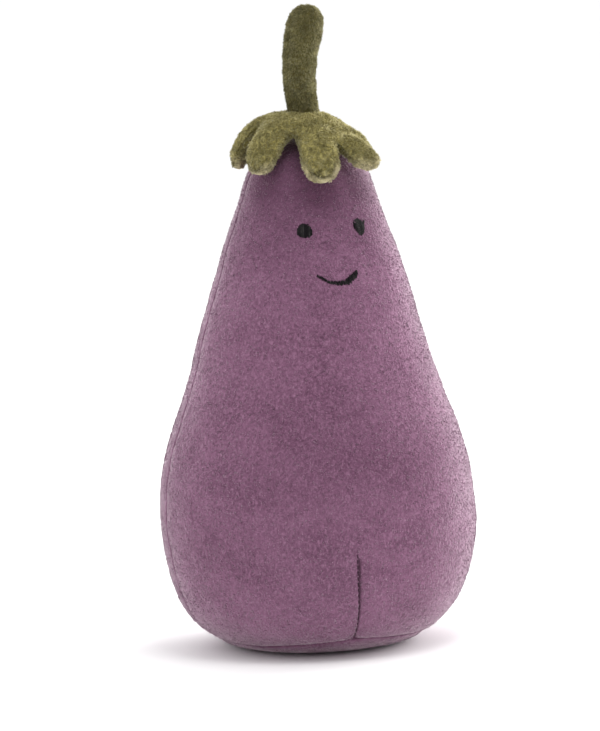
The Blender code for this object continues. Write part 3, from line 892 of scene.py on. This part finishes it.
def shadeCalyx(pad, rim):
    # the seam, the paler lower fabric, painted shade in the notches and over the lobe that rolls most, and
    # darker and paler clumps of nap
    look = calyxPad
    places = pointsOf(pad)
    height = places[:, 2] / mm
    under = np.clip(2.6 * weightsOf(pad, "under"), 0, 1)
    clumped = waves(places, 4 * mm, 31)
    # the lower fabric comes round the edge, up to the seam
    atEnds = 1 - softStep((height - 188) / 9)
    turn = np.arctan2(places[:, 0], -places[:, 1])
    rolled = bell(wrapTurn(turn - math.radians(look["rolledTurn"])), 0.4)
    seamAt = look["seamInside"] * (0.6 + 0.5 * atEnds + 0.9 * rolled) + 0.4 * clumped
    past = 6 * weightsOf(pad, "inside") - seamAt
    lower = np.maximum(under, 1 - softStep(past / 0.7 + 0.5))
    onLobes = 1 - softStep((height - 194) / 8)
    seamLine = bell(past, 0.6) * (1 - under) * onLobes
    shareMap(pad, "rimShare", lower * onLobes * np.clip(0.9 + 0.3 * clumped, 0, 1))
    shareMap(pad, "seamShade", seamLine * np.clip(0.85 + 0.4 * clumped, 0, 1))
    places = places - normalsOf(pad) * (look["seamCut"] * mm * seamLine)[:, None]
    movePoints(pad, places)
    # painted shade in the notches and over the lobe that rolls most, and darker nap in clumps where the
    # lobes bend
    paintedNotchShade = softStep((height - 193) / 9) * np.clip(under + rim, 0, 1)
    tufted = waves(places, 3.2 * mm, 33)
    bent = bell(height - 194, 6) * np.clip(tufted, 0, 1)
    paintedRolledShade = 0.35 * rolled * bell(height - 199, 9)
    shareMap(pad, "napToneAndPaintedShade", np.clip(0.60 * paintedNotchShade + 0.95 * bent + paintedRolledShade, 0, 0.9))
    shareMap(pad, "napToneAndPaintedLight", 0.60 * bell(height - 192, 7) * np.clip(-tufted, 0, 1))


def weightsOf(piece, name):
    group = piece.vertex_groups[name].index
    weights = np.zeros(len(piece.data.vertices))
    for vertex in piece.data.vertices:
        for item in vertex.groups:
            if item.group == group:
                weights[vertex.index] = item.weight
    return weights


# the stuffed stem
stemSleeve = {
    # painted shade low on the front and painted light on the right side, both streaked: turn in degrees,
    # width in radians, height and tallness in mm, and how strongly
    "paintedLightAndShade": {"napToneAndPaintedShade": (-20.0, 0.6, 225, 9, 0.60), "napToneAndPaintedLight": (38.0, 0.35, 229, 12, 0.65)},
    # right, back, height and radius along the middle line, in millimetres
    "line": (
        (-0.3, 0.0, 213.4, 6.5), (-0.7, 0.0, 216.5, 6.9), (-1.2, 0.1, 222.0, 7.0),
        (-1.9, 0.2, 230.0, 7.2), (-1.6, 0.3, 239.2, 7.8), (-0.4, 0.2, 246.5, 8.1), (0.9, 0.0, 252.5, 8.3),
    ),
    "tipHeight": 261.6,
    "tipLean": 0.12,
    "columns": 32,
    "rings": 20,
    "domeRings": 6,
    "slack": 1.0, "pressure": 300.0, "stretch": 10.0, "mostSwell": 0.6,
    "sewnBelow": 216.0,
    "seamTurns": (-70.0, 110.0),
    "seamCut": 0.45, "seamCutWidth": 0.5,
}


def makeStem():
    look = stemSleeve
    line = smoothLine(look["line"])
    picks = np.linspace(0, len(line) - 1, look["rings"]).round().astype(int)
    rings = [(*line[pick][:3], line[pick][3] - look["slack"]) for pick in picks]
    right, back, top, full = rings[-1]
    rise = look["tipHeight"] - look["slack"] - top
    for ring in range(1, look["domeRings"] + 1):
        slant = 0.5 * math.pi * ring / (look["domeRings"] + 0.35)
        up = rise * math.sin(slant)
        rings.append((right + look["tipLean"] * up, back, top + up, full * math.cos(slant)))
    right, back, height, radius = rings[0]
    sleeve = startRing("stem_sleeve", look["columns"], radius * mm, (right * mm, back * mm, height * mm))
    for before, after in zip(rings, rings[1:]):
        nextRing(after[3] / before[3], [(after[axis] - before[axis]) * mm for axis in range(3)])
    bpy.ops.mesh.merge(type="CENTER")
    objectMode()
    closeRing(sleeve, np.abs(pointsOf(sleeve)[:, 2] - height * mm) < 1e-6, (0.6,))
    sewn = pointsOf(sleeve)[:, 2] < look["sewnBelow"] * mm
    stuff(sleeve, sewn, look["pressure"], look["stretch"], look["mostSwell"] * mm)
    subdivide(sleeve, 2)
    places = pointsOf(sleeve)
    middleX = np.interp(places[:, 2] / mm, line[:, 2], line[:, 0]) * mm
    turn = np.arctan2(places[:, 0] - middleX, -places[:, 1])
    reach = np.hypot(places[:, 0] - middleX, places[:, 1])
    push = np.zeros(len(places))
    shade = np.zeros(len(places))
    for seamTurn in look["seamTurns"]:
        distance = np.abs(wrapTurn(turn - math.radians(seamTurn))) * reach
        share = softStep((reach / mm - 1) / 3)
        push -= look["seamCut"] * bell(distance, look["seamCutWidth"] * mm) * share
        push -= 0.3 * bell(distance, 2.0 * mm) * share
        shade = np.maximum(shade, 0.35 * bell(distance, 0.4 * mm) * share)
    gathers = bell(places[:, 2] - 216.5 * mm, 2.5 * mm)
    push += 0.25 * gathers * np.sin(17 * turn)
    push += 0.18 * waves(places, 9 * mm, 5) + 0.12 * waves(places * (1, 1, 0.3), 5 * mm, 6)
    pushOut(sleeve, push * mm)
    shareMap(sleeve, "seamShade", shade)
    places = pointsOf(sleeve)
    # painted shade and painted light on the stem, broken into streaks along it
    streaks = 0.4 * waves(places * (1, 1, 0.25), 2.2 * mm, 35)
    for name, (middleTurn, wide, middleHeight, tall, share) in look["paintedLightAndShade"].items():
        around = wrapTurn(turn - math.radians(middleTurn))
        patch = bell(around, wide) * bell(places[:, 2] / mm - middleHeight, tall)
        shareMap(sleeve, name, np.clip((share + streaks) * patch, 0, 0.8))
    return sleeve


# the stitched face
faceStitches = {
    # turn, height, width and tallness of each eye, then the low and high end of its stitches
    # from the viewer's left to the right, as shares of half its tallness
    "eyes": (
        (-21.2, 171.8, 6.0, 6.2, (
            (-1.0, -0.35, 0.35), (-0.8, -0.66, 0.68), (-0.5, -0.87, 0.90), (0.0, -1.0, 1.0),
            (0.5, -0.92, 0.86), (0.8, -0.76, 0.6), (1.0, -0.55, 0.1),
        )),
        (24.0, 171.9, 5.2, 7.6, (
            (-1.0, -0.15, 0.68), (-0.6, -0.58, 0.90), (-0.26, -0.90, 0.98), (0.09, -1.0, 1.0),
            (0.43, -0.82, 0.90), (0.78, -0.55, 0.68), (1.02, -0.2, 0.55), (1.12, 0.4, 0.8),
            (1.4, 0.55, 0.85),
        )),
    ),
    "eyeThreads": (13, 12),
    # turn, height and thickness along the mouth, from the viewer's left to the right
    "mouth": (
        (-13.5, 154.3, 0.9), (-10.7, 153.1, 1.2), (-7.9, 152.0, 1.3), (-4.7, 151.2, 1.4), (-0.8, 150.9, 1.7),
        (3.0, 150.9, 2.0), (6.2, 151.4, 2.7), (9.0, 152.4, 3.3), (11.5, 153.5, 3.0), (13.7, 154.5, 2.1),
    ),
    "mouthStitches": 34,
    "threadRadius": 0.27,
}


def skinFrame(surface, turn, height):
    # a place on the finished skin, found by a ray, with its normal and two level directions
    way = Vector((math.sin(turn), -math.cos(turn), 0))
    start = way * 0.2 + Vector((0, 0, height))
    hit, place, normal, _ = surface.ray_cast(start, -way)
    across = Vector((0, 0, 1)).cross(normal).normalized()
    return place, normal, across, normal.cross(across).normalized()


def oneThread(name):
    # a plump thread along Z, one unit long, with drawn-in ends
    clearChoice()
    bpy.ops.mesh.primitive_cylinder_add(vertices=8, radius=1, depth=1, end_fill_type="TRIFAN")
    thread = bpy.context.object
    thread.name = name
    editMode(thread, "EDGE")
    bpy.ops.mesh.select_all(action="DESELECT")
    objectMode()
    heights = pointsOf(thread)[:, 2]
    upright = [abs(np.diff(heights[list(edge.vertices)])[0]) > 0.5 for edge in thread.data.edges]
    thread.data.edges.foreach_set("select", np.array(upright, bool))
    editMode(thread, "EDGE")
    bpy.ops.mesh.subdivide(number_cuts=5)
    objectMode()
    places = pointsOf(thread)
    share = 1 - (2 * np.abs(places[:, 2])) ** 3
    fat = 0.35 + 0.65 * np.sqrt(np.clip(share, 0, 1))
    places[:, :2] *= fat[:, None]
    movePoints(thread, places)
    return thread


def joinCopies(name, source, frames):
    # one mesh that holds a copy of the source for each 4 by 4 matrix
    template = pointsOf(source)
    corners = [list(face.vertices) for face in source.data.polygons]
    sizes = np.array([len(face) for face in corners])
    indices = np.concatenate(corners)
    frames = np.asarray(frames)
    count = len(frames)
    places = np.einsum("nij,kj->nki", frames[:, :3, :3], template) + frames[:, None, :3, 3]
    mesh = bpy.data.meshes.new(name)
    mesh.vertices.add(count * len(template))
    mesh.loops.add(count * len(indices))
    mesh.polygons.add(count * len(sizes))
    mesh.vertices.foreach_set("co", places.ravel())
    steps = np.arange(count)[:, None] * len(template)
    mesh.loops.foreach_set("vertex_index", (indices + steps).ravel().astype(np.int32))
    starts = np.concatenate([[0], np.cumsum(np.tile(sizes, count))[:-1]])
    mesh.polygons.foreach_set("loop_start", starts.astype(np.int32))
    mesh.update(calc_edges=True)
    made = bpy.data.objects.new(name, mesh)
    bpy.context.scene.collection.objects.link(made)
    return made


def threadMatrix(start, end, normal, radius, flat=0.8):
    # lays the unit thread from start to end, a little flattened against the skin
    along = end - start
    length = along.length
    along.normalize()
    side = normal.cross(along).normalized()
    up = along.cross(side).normalized()
    turned = Matrix((side * radius, up * radius * flat, along * length)).transposed().to_4x4()
    return Matrix.Translation((start + end) / 2) @ turned


def sewOn(name, thread, frames, shades):
    # one mesh of many threads, each with its own place and shade
    stitched = joinCopies(name, thread, frames)
    shareMap(stitched, "threadShade", np.repeat(shades, len(thread.data.vertices)))
    return stitched


threadParts = 4  # straight stretches in each of an eye's threads


def makeEye(name, surface, thread, eye, count, seed):
    # satin stitches side by side, each sagging to the skin at its two ends
    turn, height, wide, tall, ends = eye
    random = np.random.default_rng(seed)
    place, normal, across, up = skinFrame(surface, math.radians(turn), height * mm)
    shares, lows, highs = np.array(ends).T
    frames = []
    shades = []
    for share in np.linspace(shares[0] + 0.07, shares[-1] - 0.07, count):
        low = 0.5 * tall * float(np.interp(share, shares, lows)) + random.uniform(-0.35, 0.25)
        high = 0.5 * tall * float(np.interp(share, shares, highs)) + random.uniform(-0.25, 0.35)
        dome = 0.45 - 0.25 * share**2 - 0.5 * (0.5 * wide * share) ** 2 / 30
        lean = random.uniform(-0.15, 0.15)
        shade = random.uniform(0.1, 1.0) ** 2
        for part in range(threadParts):
            pair = []
            for end in (part / threadParts - 0.06, (part + 1) / threadParts + 0.06):
                end = max(0.0, min(1.0, end))
                rise = low + (high - low) * end
                sag = 0.35 * (2 * end - 1) ** 2 + 0.5 * rise**2 / 60
                beside = 0.5 * wide * share + lean * (end - 0.5)
                pair.append(place + (across * beside + up * rise + normal * (dome - sag)) * mm)
            frames.append(threadMatrix(pair[0], pair[1], normal, faceStitches["threadRadius"] * mm))
            shades.append(shade * random.uniform(0.5, 1.0))
    return sewOn(name, thread, frames, shades)


def makeMouth(surface, thread):
    # nearly upright satin stitches along the curve, longest towards the viewer's right
    look = faceStitches
    random = np.random.default_rng(12)
    line = smoothLine(look["mouth"], look["mouthStitches"])
    frames = []
    shades = []
    for number, (turn, height, thick) in enumerate(line):
        place, normal, side, up = skinFrame(surface, math.radians(turn), height * mm)
        before, after = line[max(0, number - 1)], line[min(len(line) - 1, number + 1)]
        slope = math.atan2(after[1] - before[1], math.radians(after[0] - before[0]) * 35)
        tilt = 0.35 * slope + random.uniform(-0.15, 0.15)  # between upright and square to the curve
        way = (up * math.cos(tilt) - side * math.sin(tilt)).normalized()
        half = 0.5 * thick * random.uniform(0.75, 1.2) * mm
        middle = place + normal * 0.30 * mm + up * random.uniform(-0.2, 0.15) * mm
        for end in (-1, 1):
            foot = middle + way * half * end - normal * 0.12 * mm
            head = middle - way * 0.1 * half * end
            frames.append(threadMatrix(head, foot, normal, look["threadRadius"] * mm))
            shades.append(random.uniform(0.0, 0.8) ** 2)
    return sewOn("mouth_threads", thread, frames, shades)


def makeDartStitches(surface, thread):
    # the stitches that show in the front dart's groove, each a little aslant
    look = bodyCover
    random = np.random.default_rng(27)
    frames = []
    shades = []
    for height in np.arange(10.0, look["dartTop"], look["dartStitch"]):
        place, normal, side, up = skinFrame(surface, float(dartTurn(height * mm)), height * mm)
        slant = side * random.uniform(0.15, 0.35) - up * random.uniform(0.8, 1.05)
        middle = place + normal * 0.16 * mm
        frames.append(threadMatrix(middle - slant * mm, middle + slant * mm, normal, 0.26 * mm))
        shades.append(random.uniform(0.2, 1.0))
    return sewOn("dart_threads", thread, frames, shades)


# the pile: short tapered tufts in small clumps that stand out of the fabric
bodyPile = {
    "count": 48000, "length": 0.95, "thick": 0.15, "lean": 55.0, "stray": 14.0, "swirl": 0.7,
    "swirlSize": 24.0, "sunk": 0.15, "seamKept": 0.25, "perClump": 3, "gather": 0.35, "ownShade": 0.35,
}
calyxPile = {
    "count": 48000, "length": 1.2, "thick": 0.20, "lean": 42.0, "stray": 12.0, "swirl": 0.9,
    "swirlSize": 6.0, "sunk": 0.2, "seamKept": 0.55, "perClump": 9, "gather": 0.6, "ownShade": 0.3,
}
stemPile = {
    "count": 24000, "length": 1.25, "thick": 0.18, "lean": 50.0, "stray": 12.0, "swirl": 0.7,
    "swirlSize": 7.0, "sunk": 0.2, "seamKept": 0.25, "perClump": 9, "gather": 0.6, "ownShade": 0.3,
}


def oneTuft():
    # a three-sided taper, one unit long, that stands on its foot
    clearChoice()
    bpy.ops.mesh.primitive_cone_add(
        vertices=3, radius1=1, radius2=0, depth=1, location=(0, 0, 0.5), end_fill_type="NGON")
    tuft = bpy.context.object
    tuft.name = "tuft_copy"
    bpy.ops.object.transform_apply()
    return tuft


def facesOf(piece):
    # each face's four corners, which start from the same side in each run, and its area
    corners = np.empty(len(piece.data.loops), np.int32)
    piece.data.loops.foreach_get("vertex_index", corners)
    corners = corners.reshape(-1, 4)
    places = pointsOf(piece)
    first = np.argmin(places[corners] @ np.array([1.0, 0.37, 0.11]), axis=1)
    corners = np.take_along_axis(corners, (first[:, None] + np.arange(4)) % 4, axis=1)
    places = places[corners]
    cross = np.cross(places[:, 2] - places[:, 0], places[:, 3] - places[:, 1])
    return corners, np.linalg.norm(cross, axis=1) / 2


def attributeOf(piece, name):
    values = np.empty(len(piece.data.vertices), np.float32)
    piece.data.attributes[name].data.foreach_get("value", values)
    return values


def nearestOf(places, centres):
    # which centre each place is nearest to
    tree = KDTree(len(centres))
    for number, centre in enumerate(centres):
        tree.insert(centre, number)
    tree.balance()
    return np.array([tree.find(place)[1] for place in places])


def growPile(name, host, tuft, look, allowed, seed):
    # tufts at random roots on the host, brushed downwards with soft swirls and drawn into clumps
    random = np.random.default_rng(seed)
    count = look["count"]
    corners, areas = facesOf(host)
    places, normals = pointsOf(host), normalsOf(host)
    centres = places[corners].mean(1)
    areas = areas * allowed(centres, normals[corners].mean(1))
    seams = attributeOf(host, "seamShade")[corners].mean(1)
    areas = areas * (seams < look["seamKept"])
    picks = random.choice(len(areas), count, p=areas / areas.sum())
    first, second = random.random((2, count))
    others = 1 - first, 1 - second
    shares = np.array([others[0] * others[1], first * others[1], first * second, others[0] * second])
    shares = shares.T[:, :, None]
    roots = (places[corners[picks]] * shares).sum(1)
    outwards = unit((normals[corners[picks]] * shares).sum(1))
    clumps = roots[:count // look["perClump"]]
    clump = nearestOf(roots, clumps)
    clumpTurn = random.normal(size=len(clumps))
    clumpTall, clumpShade = random.random(len(clumps)), random.random(len(clumps))
    down = np.array([0.0, 0.0, -1.0]) + 1e-3
    brushed = unit(down - outwards * (outwards @ down)[:, None])
    level = np.cross(outwards, brushed)
    stray = np.radians(look["stray"])
    swirl = look["swirl"] * waves(roots, look["swirlSize"] * mm, seed + 1)
    swirl += 1.5 * stray * clumpTurn[clump] + stray * random.normal(size=count)
    nap = brushed * np.cos(swirl)[:, None] + level * np.sin(swirl)[:, None]
    raised = besideStitches(roots) if name.startswith("body") else np.zeros(count)
    lean = np.radians(look["lean"]) * (1 - 0.5 * raised) + stray * random.normal(size=count)
    lean = np.clip(lean, 0.1, 1.25)
    length = look["length"] * mm * random.uniform(0.8, 1.15, count) * (0.75 + 0.5 * clumpTall[clump])
    reach = outwards * np.cos(lean)[:, None] + nap * np.sin(lean)[:, None]
    reach = reach * length[:, None] + look["gather"] * (clumps[clump] - roots)
    along = unit(reach)
    thick = look["thick"] * mm * random.uniform(0.75, 1.2, count)
    side = unit(np.cross(along, outwards))
    top = np.cross(along, side)
    frames = np.zeros((count, 4, 4))
    frames[:, :3, 0] = side * thick[:, None]
    frames[:, :3, 1] = top * thick[:, None]
    frames[:, :3, 2] = reach
    frames[:, :3, 3] = roots - outwards * look["sunk"] * mm
    pile = joinCopies(name, tuft, frames)
    height = pointsOf(tuft)[:, 2]
    own = clumpShade[clump] * (1 - look["ownShade"]) + random.random(count) * look["ownShade"]
    own = np.maximum(own, raised * random.uniform(0.6, 1.0, count))
    shareMap(pile, "tipShare", np.tile(height, count))
    shareMap(pile, "tuftShade", np.repeat(own, len(height)))
    for share in ("rimShare", "seamShade", "napToneAndPaintedShade", "napToneAndPaintedLight"):
        if share in host.data.attributes:
            atRoot = (attributeOf(host, share)[corners[picks]] * shares[:, :, 0]).sum(1)
            shareMap(pile, share, np.repeat(atRoot, len(height)))
    layTuftMap(pile, tuft, count)
    return pile


def layTuftMap(pile, tuft, count):
    # each tuft has its own small square of the map
    across = math.ceil(math.sqrt(count))
    cell = 1 / across
    unit = []
    for face in tuft.data.polygons:
        unit += [(0.1, 0.1), (0.9, 0.1), (0.5, 0.9)][:face.loop_total]
    unit = np.array(unit)
    squares = np.arange(count)
    corner = np.column_stack([squares % across, squares // across]) * cell
    places = corner[:, None, :] + unit[None, :, :] * cell
    layer = pile.data.uv_layers.new(name="OFBake")
    layer.data.foreach_set("uv", places.ravel())


def stitchGaps(places):
    # millimetres from each place to the edge of the nearest stitched eye or of the mouth
    right, forward, height = places.T / mm
    turn, across = np.arctan2(right, -forward), np.hypot(right, forward)
    nearest = np.full(len(places), 99.0)
    for eyeTurn, eyeHeight, wide, tall, _ in faceStitches["eyes"]:
        beside = wrapTurn(turn - math.radians(eyeTurn)) * across
        share = np.hypot(beside / wide, (height - eyeHeight) / tall) * 2
        nearest = np.minimum(nearest, (share - 1) * 0.5 * min(wide, tall))
    line = smoothLine(faceStitches["mouth"], 60)
    for mouthTurn, mouthHeight, thick in line:
        beside = wrapTurn(turn - math.radians(mouthTurn)) * across
        nearest = np.minimum(nearest, np.hypot(beside, height - mouthHeight) - 0.5 * thick)
    return np.where(places[:, 1] < 0, nearest, 99.0)


def besideStitches(places):
    # the pile stands up where stitches press down its neighbours
    return bell(np.maximum(0, stitchGaps(places) - 0.3), 0.7)


def overBody(centres, normals):
    # no pile grows under the calyx, on the flat spot, in the seams or on the face's stitches
    turn, radius = turnAndRadius(centres)
    _, dart, base = seamDistances(turn, np.maximum(radius, 1e-5), centres[:, 2])
    free = (centres[:, 2] > 1.6 * mm) & (centres[:, 2] < crownEdge * mm)
    free &= ~((np.abs(dart) < 0.35 * mm) & (centres[:, 2] < bodyCover["dartTop"] * mm))
    free &= ~((base > -0.4 * mm) & (base < 0.8 * mm))
    free &= stitchGaps(centres) > 0.1
    return free.astype(float)


def overCalyx(centres, normals):
    # the calyx has no pile where it lies on the body or under the stem
    _, radius = turnAndRadius(centres)
    skin = bodyRadius(np.minimum(centres[:, 2], crownTop * mm))
    covered = (radius < skin + 0.6 * mm) & (normals[:, 2] < 0.1)
    covered |= (np.hypot(centres[:, 0], centres[:, 1]) < 6.2 * mm) | (normals[:, 2] < -0.75)
    return np.where(covered, 0.0, 1.0)


def overStem(centres, normals):
    # the stem's foot is hidden in the calyx
    return (centres[:, 2] > 217.2 * mm).astype(float)


def buildAll():
    purple = velour("purple_velour", purpleVelour, "seamShade")
    green = velour("green_velour", greenVelour, "seamShade", "rimShare")
    stemGreen = velour("stem_velour", stemVelour, "seamShade")
    black = stitchThread("black_stitching", faceThread)
    body = makeBody()
    finish(body, purple, ("body_front", "body_back", "base_panel"))
    calyx = makeCalyx()
    finish(calyx, green, ("calyx_upper", "calyx_lower", "calyx_wadding"))
    stem = makeStem()
    finish(stem, stemGreen, ("stem_cover",))
    thread = oneThread("thread_copy")
    names = (("eye_threads_right", "eye_stitching_right"), ("eye_threads_left", "eye_stitching_left"))
    for number, (name, node) in enumerate(names):
        shape, count = faceStitches["eyes"][number], faceStitches["eyeThreads"][number]
        eye = makeEye(name, body, thread, shape, count, 3 + number)
        finish(eye, black, (node,))
    mouth = makeMouth(body, thread)
    finish(mouth, black, ("mouth_stitching",))
    dart = makeDartStitches(body, thread)
    finish(dart, stitchThread("dart_stitching", dartThread), ())
    bpy.data.objects.remove(thread)
    tuft = oneTuft()
    purplePile = velour("purple_pile", purpleVelour, pile=True)
    greenPile = velour("green_pile", greenVelour, "seamShade", "rimShare", pile=True)
    darkPile = velour("stem_pile", stemVelour, pile=True)

    def frontOnly(centres, normals):
        return overBody(centres, normals) * (centres[:, 1] < 0)

    def backOnly(centres, normals):
        return overBody(centres, normals) * (centres[:, 1] >= 0)

    piles = (
        ("body_pile_front", body, bodyPile, frontOnly, purplePile, "purple_plush"),
        ("body_pile_back", body, bodyPile, backOnly, purplePile, "purple_plush"),
        ("calyx_pile", calyx, calyxPile, overCalyx, greenPile, "green_plush"),
        ("stem_pile", stem, stemPile, overStem, darkPile, "green_plush"),
    )
    for number, (name, host, look, allowed, material, slot) in enumerate(piles):
        pile = growPile(name, host, tuft, look, allowed, 40 + 3 * number)
        finish(pile, material, ())
    bpy.data.objects.remove(tuft)
    white = fibreFilling("loose_fibre", (0.70, 0.69, 0.66, 1), (0.88, 0.87, 0.84, 1), 0.0015)
    bagCloth = fibreFilling("bag_cloth", (0.60, 0.59, 0.55, 1), (0.80, 0.79, 0.74, 1), 0.0006)
    for node, material in (("body_stuffing", white), ("stem_stuffing", white), ("pellet_bag", bagCloth)):
        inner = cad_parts[node]
        for place in inner.material_slots:
            place.material = material
    print("inner nodes have their fibre and cloth")


studio = {
    "floorSize": 40.0,
    "floorColour": (0.93, 0.93, 0.93, 1),
    "airBehind": 1.82, "airFront": 0.34,  # brightness behind the toy and behind the camera
    # place, size, power and colour of each soft lamp
    "lamps": (
        ((1.2, -0.9, 0.8), 1.0, 4.6, (1.0, 0.99, 0.98)),
        ((1.5, 0.6, 0.5), 1.0, 31.0, (1.0, 0.99, 0.98)),
        ((-1.4, 0.5, 0.8), 1.0, 3.0, (1.0, 1.0, 1.0)),
        ((0.1, -0.45, 1.5), 0.5, 6.0, (1.0, 1.0, 1.0)),
    ),
}
photoCamera = {
    "turn": -18.0, "above": 6.5, "away": 2.0, "aimHeight": 0.130, "roll": -1.7,
    "pixel": 0.4075, "width": 600, "height": 731, "middle": (311.7, 326.0),
}


def makeFloor():
    clearChoice()
    bpy.ops.mesh.primitive_plane_add(size=studio["floorSize"], location=(0, 0, -0.0002))
    floor = bpy.context.object
    floor.name = "studio_floor"
    bpy.ops.object.transform_apply()
    material, _, shader = newMaterial("pale_floor")
    shader.inputs["Base Color"].default_value = studio["floorColour"]
    shader.inputs["Roughness"].default_value = 0.9
    shader.inputs["Specular IOR Level"].default_value = 0.1
    floor.data.materials.append(material)


def makeLight():
    scene = bpy.context.scene
    world = bpy.data.worlds.new("studio_air")
    world.use_nodes = True
    tree = world.node_tree
    air = tree.nodes["Background"]
    air.inputs["Color"].default_value = (1, 1, 1, 1)
    way = addNode(tree, "ShaderNodeTexCoord", output="Generated")
    depth = Wire(tree, tree.nodes.new("ShaderNodeSeparateXYZ").outputs["Y"])
    tree.links.new(way.socket, depth.socket.node.inputs[0])
    behind, front = studio["airBehind"], studio["airFront"]
    strength = 0.5 * (behind + front) + 0.5 * (behind - front) * depth
    tree.links.new(strength.socket, air.inputs["Strength"])
    scene.world = world
    aim = Vector((0, 0, 0.12))
    for number, (place, size, power, colour) in enumerate(studio["lamps"]):
        data = bpy.data.lights.new("soft_lamp_%d" % number, "AREA")
        data.shape = "SQUARE"
        data.size = size
        data.energy = power
        data.color = colour
        lamp = bpy.data.objects.new(data.name, data)
        lamp.location = place
        lamp.rotation_mode = "QUATERNION"
        lamp.rotation_quaternion = (aim - Vector(place)).to_track_quat("-Z", "Y")
        scene.collection.objects.link(lamp)
    scene.view_settings.view_transform = "Standard"
    scene.view_settings.look = "None"
    scene.view_settings.exposure = 0.0


def makeCamera():
    view = photoCamera
    turn, above = math.radians(view["turn"]), math.radians(view["above"])
    back = Vector((math.sin(turn) * math.cos(above), -math.cos(turn) * math.cos(above), math.sin(above)))
    data = bpy.data.cameras.new("photo_camera")
    camera = bpy.data.objects.new("photo_camera", data)
    bpy.context.scene.collection.objects.link(camera)
    place = Vector((0, 0, view["aimHeight"])) + back * view["away"]
    turned = (-back).to_track_quat("-Z", "Y").to_matrix().to_4x4()
    rolled = Matrix.Rotation(math.radians(view["roll"]), 4, "Z")
    camera.matrix_world = Matrix.Translation(place) @ turned @ rolled
    data.sensor_width = 36
    data.lens = data.sensor_width * view["away"] / mm / (view["height"] * view["pixel"])
    data.shift_x = (0.5 * view["width"] - view["middle"][0]) / view["height"]
    data.shift_y = (view["middle"][1] - 0.5 * view["height"]) / view["height"]
    data.clip_end = 100
    bpy.context.scene.camera = camera


makeFloor()
makeLight()
makeCamera()
print("floor, light and camera are in place")
buildAll()
clearChoice()
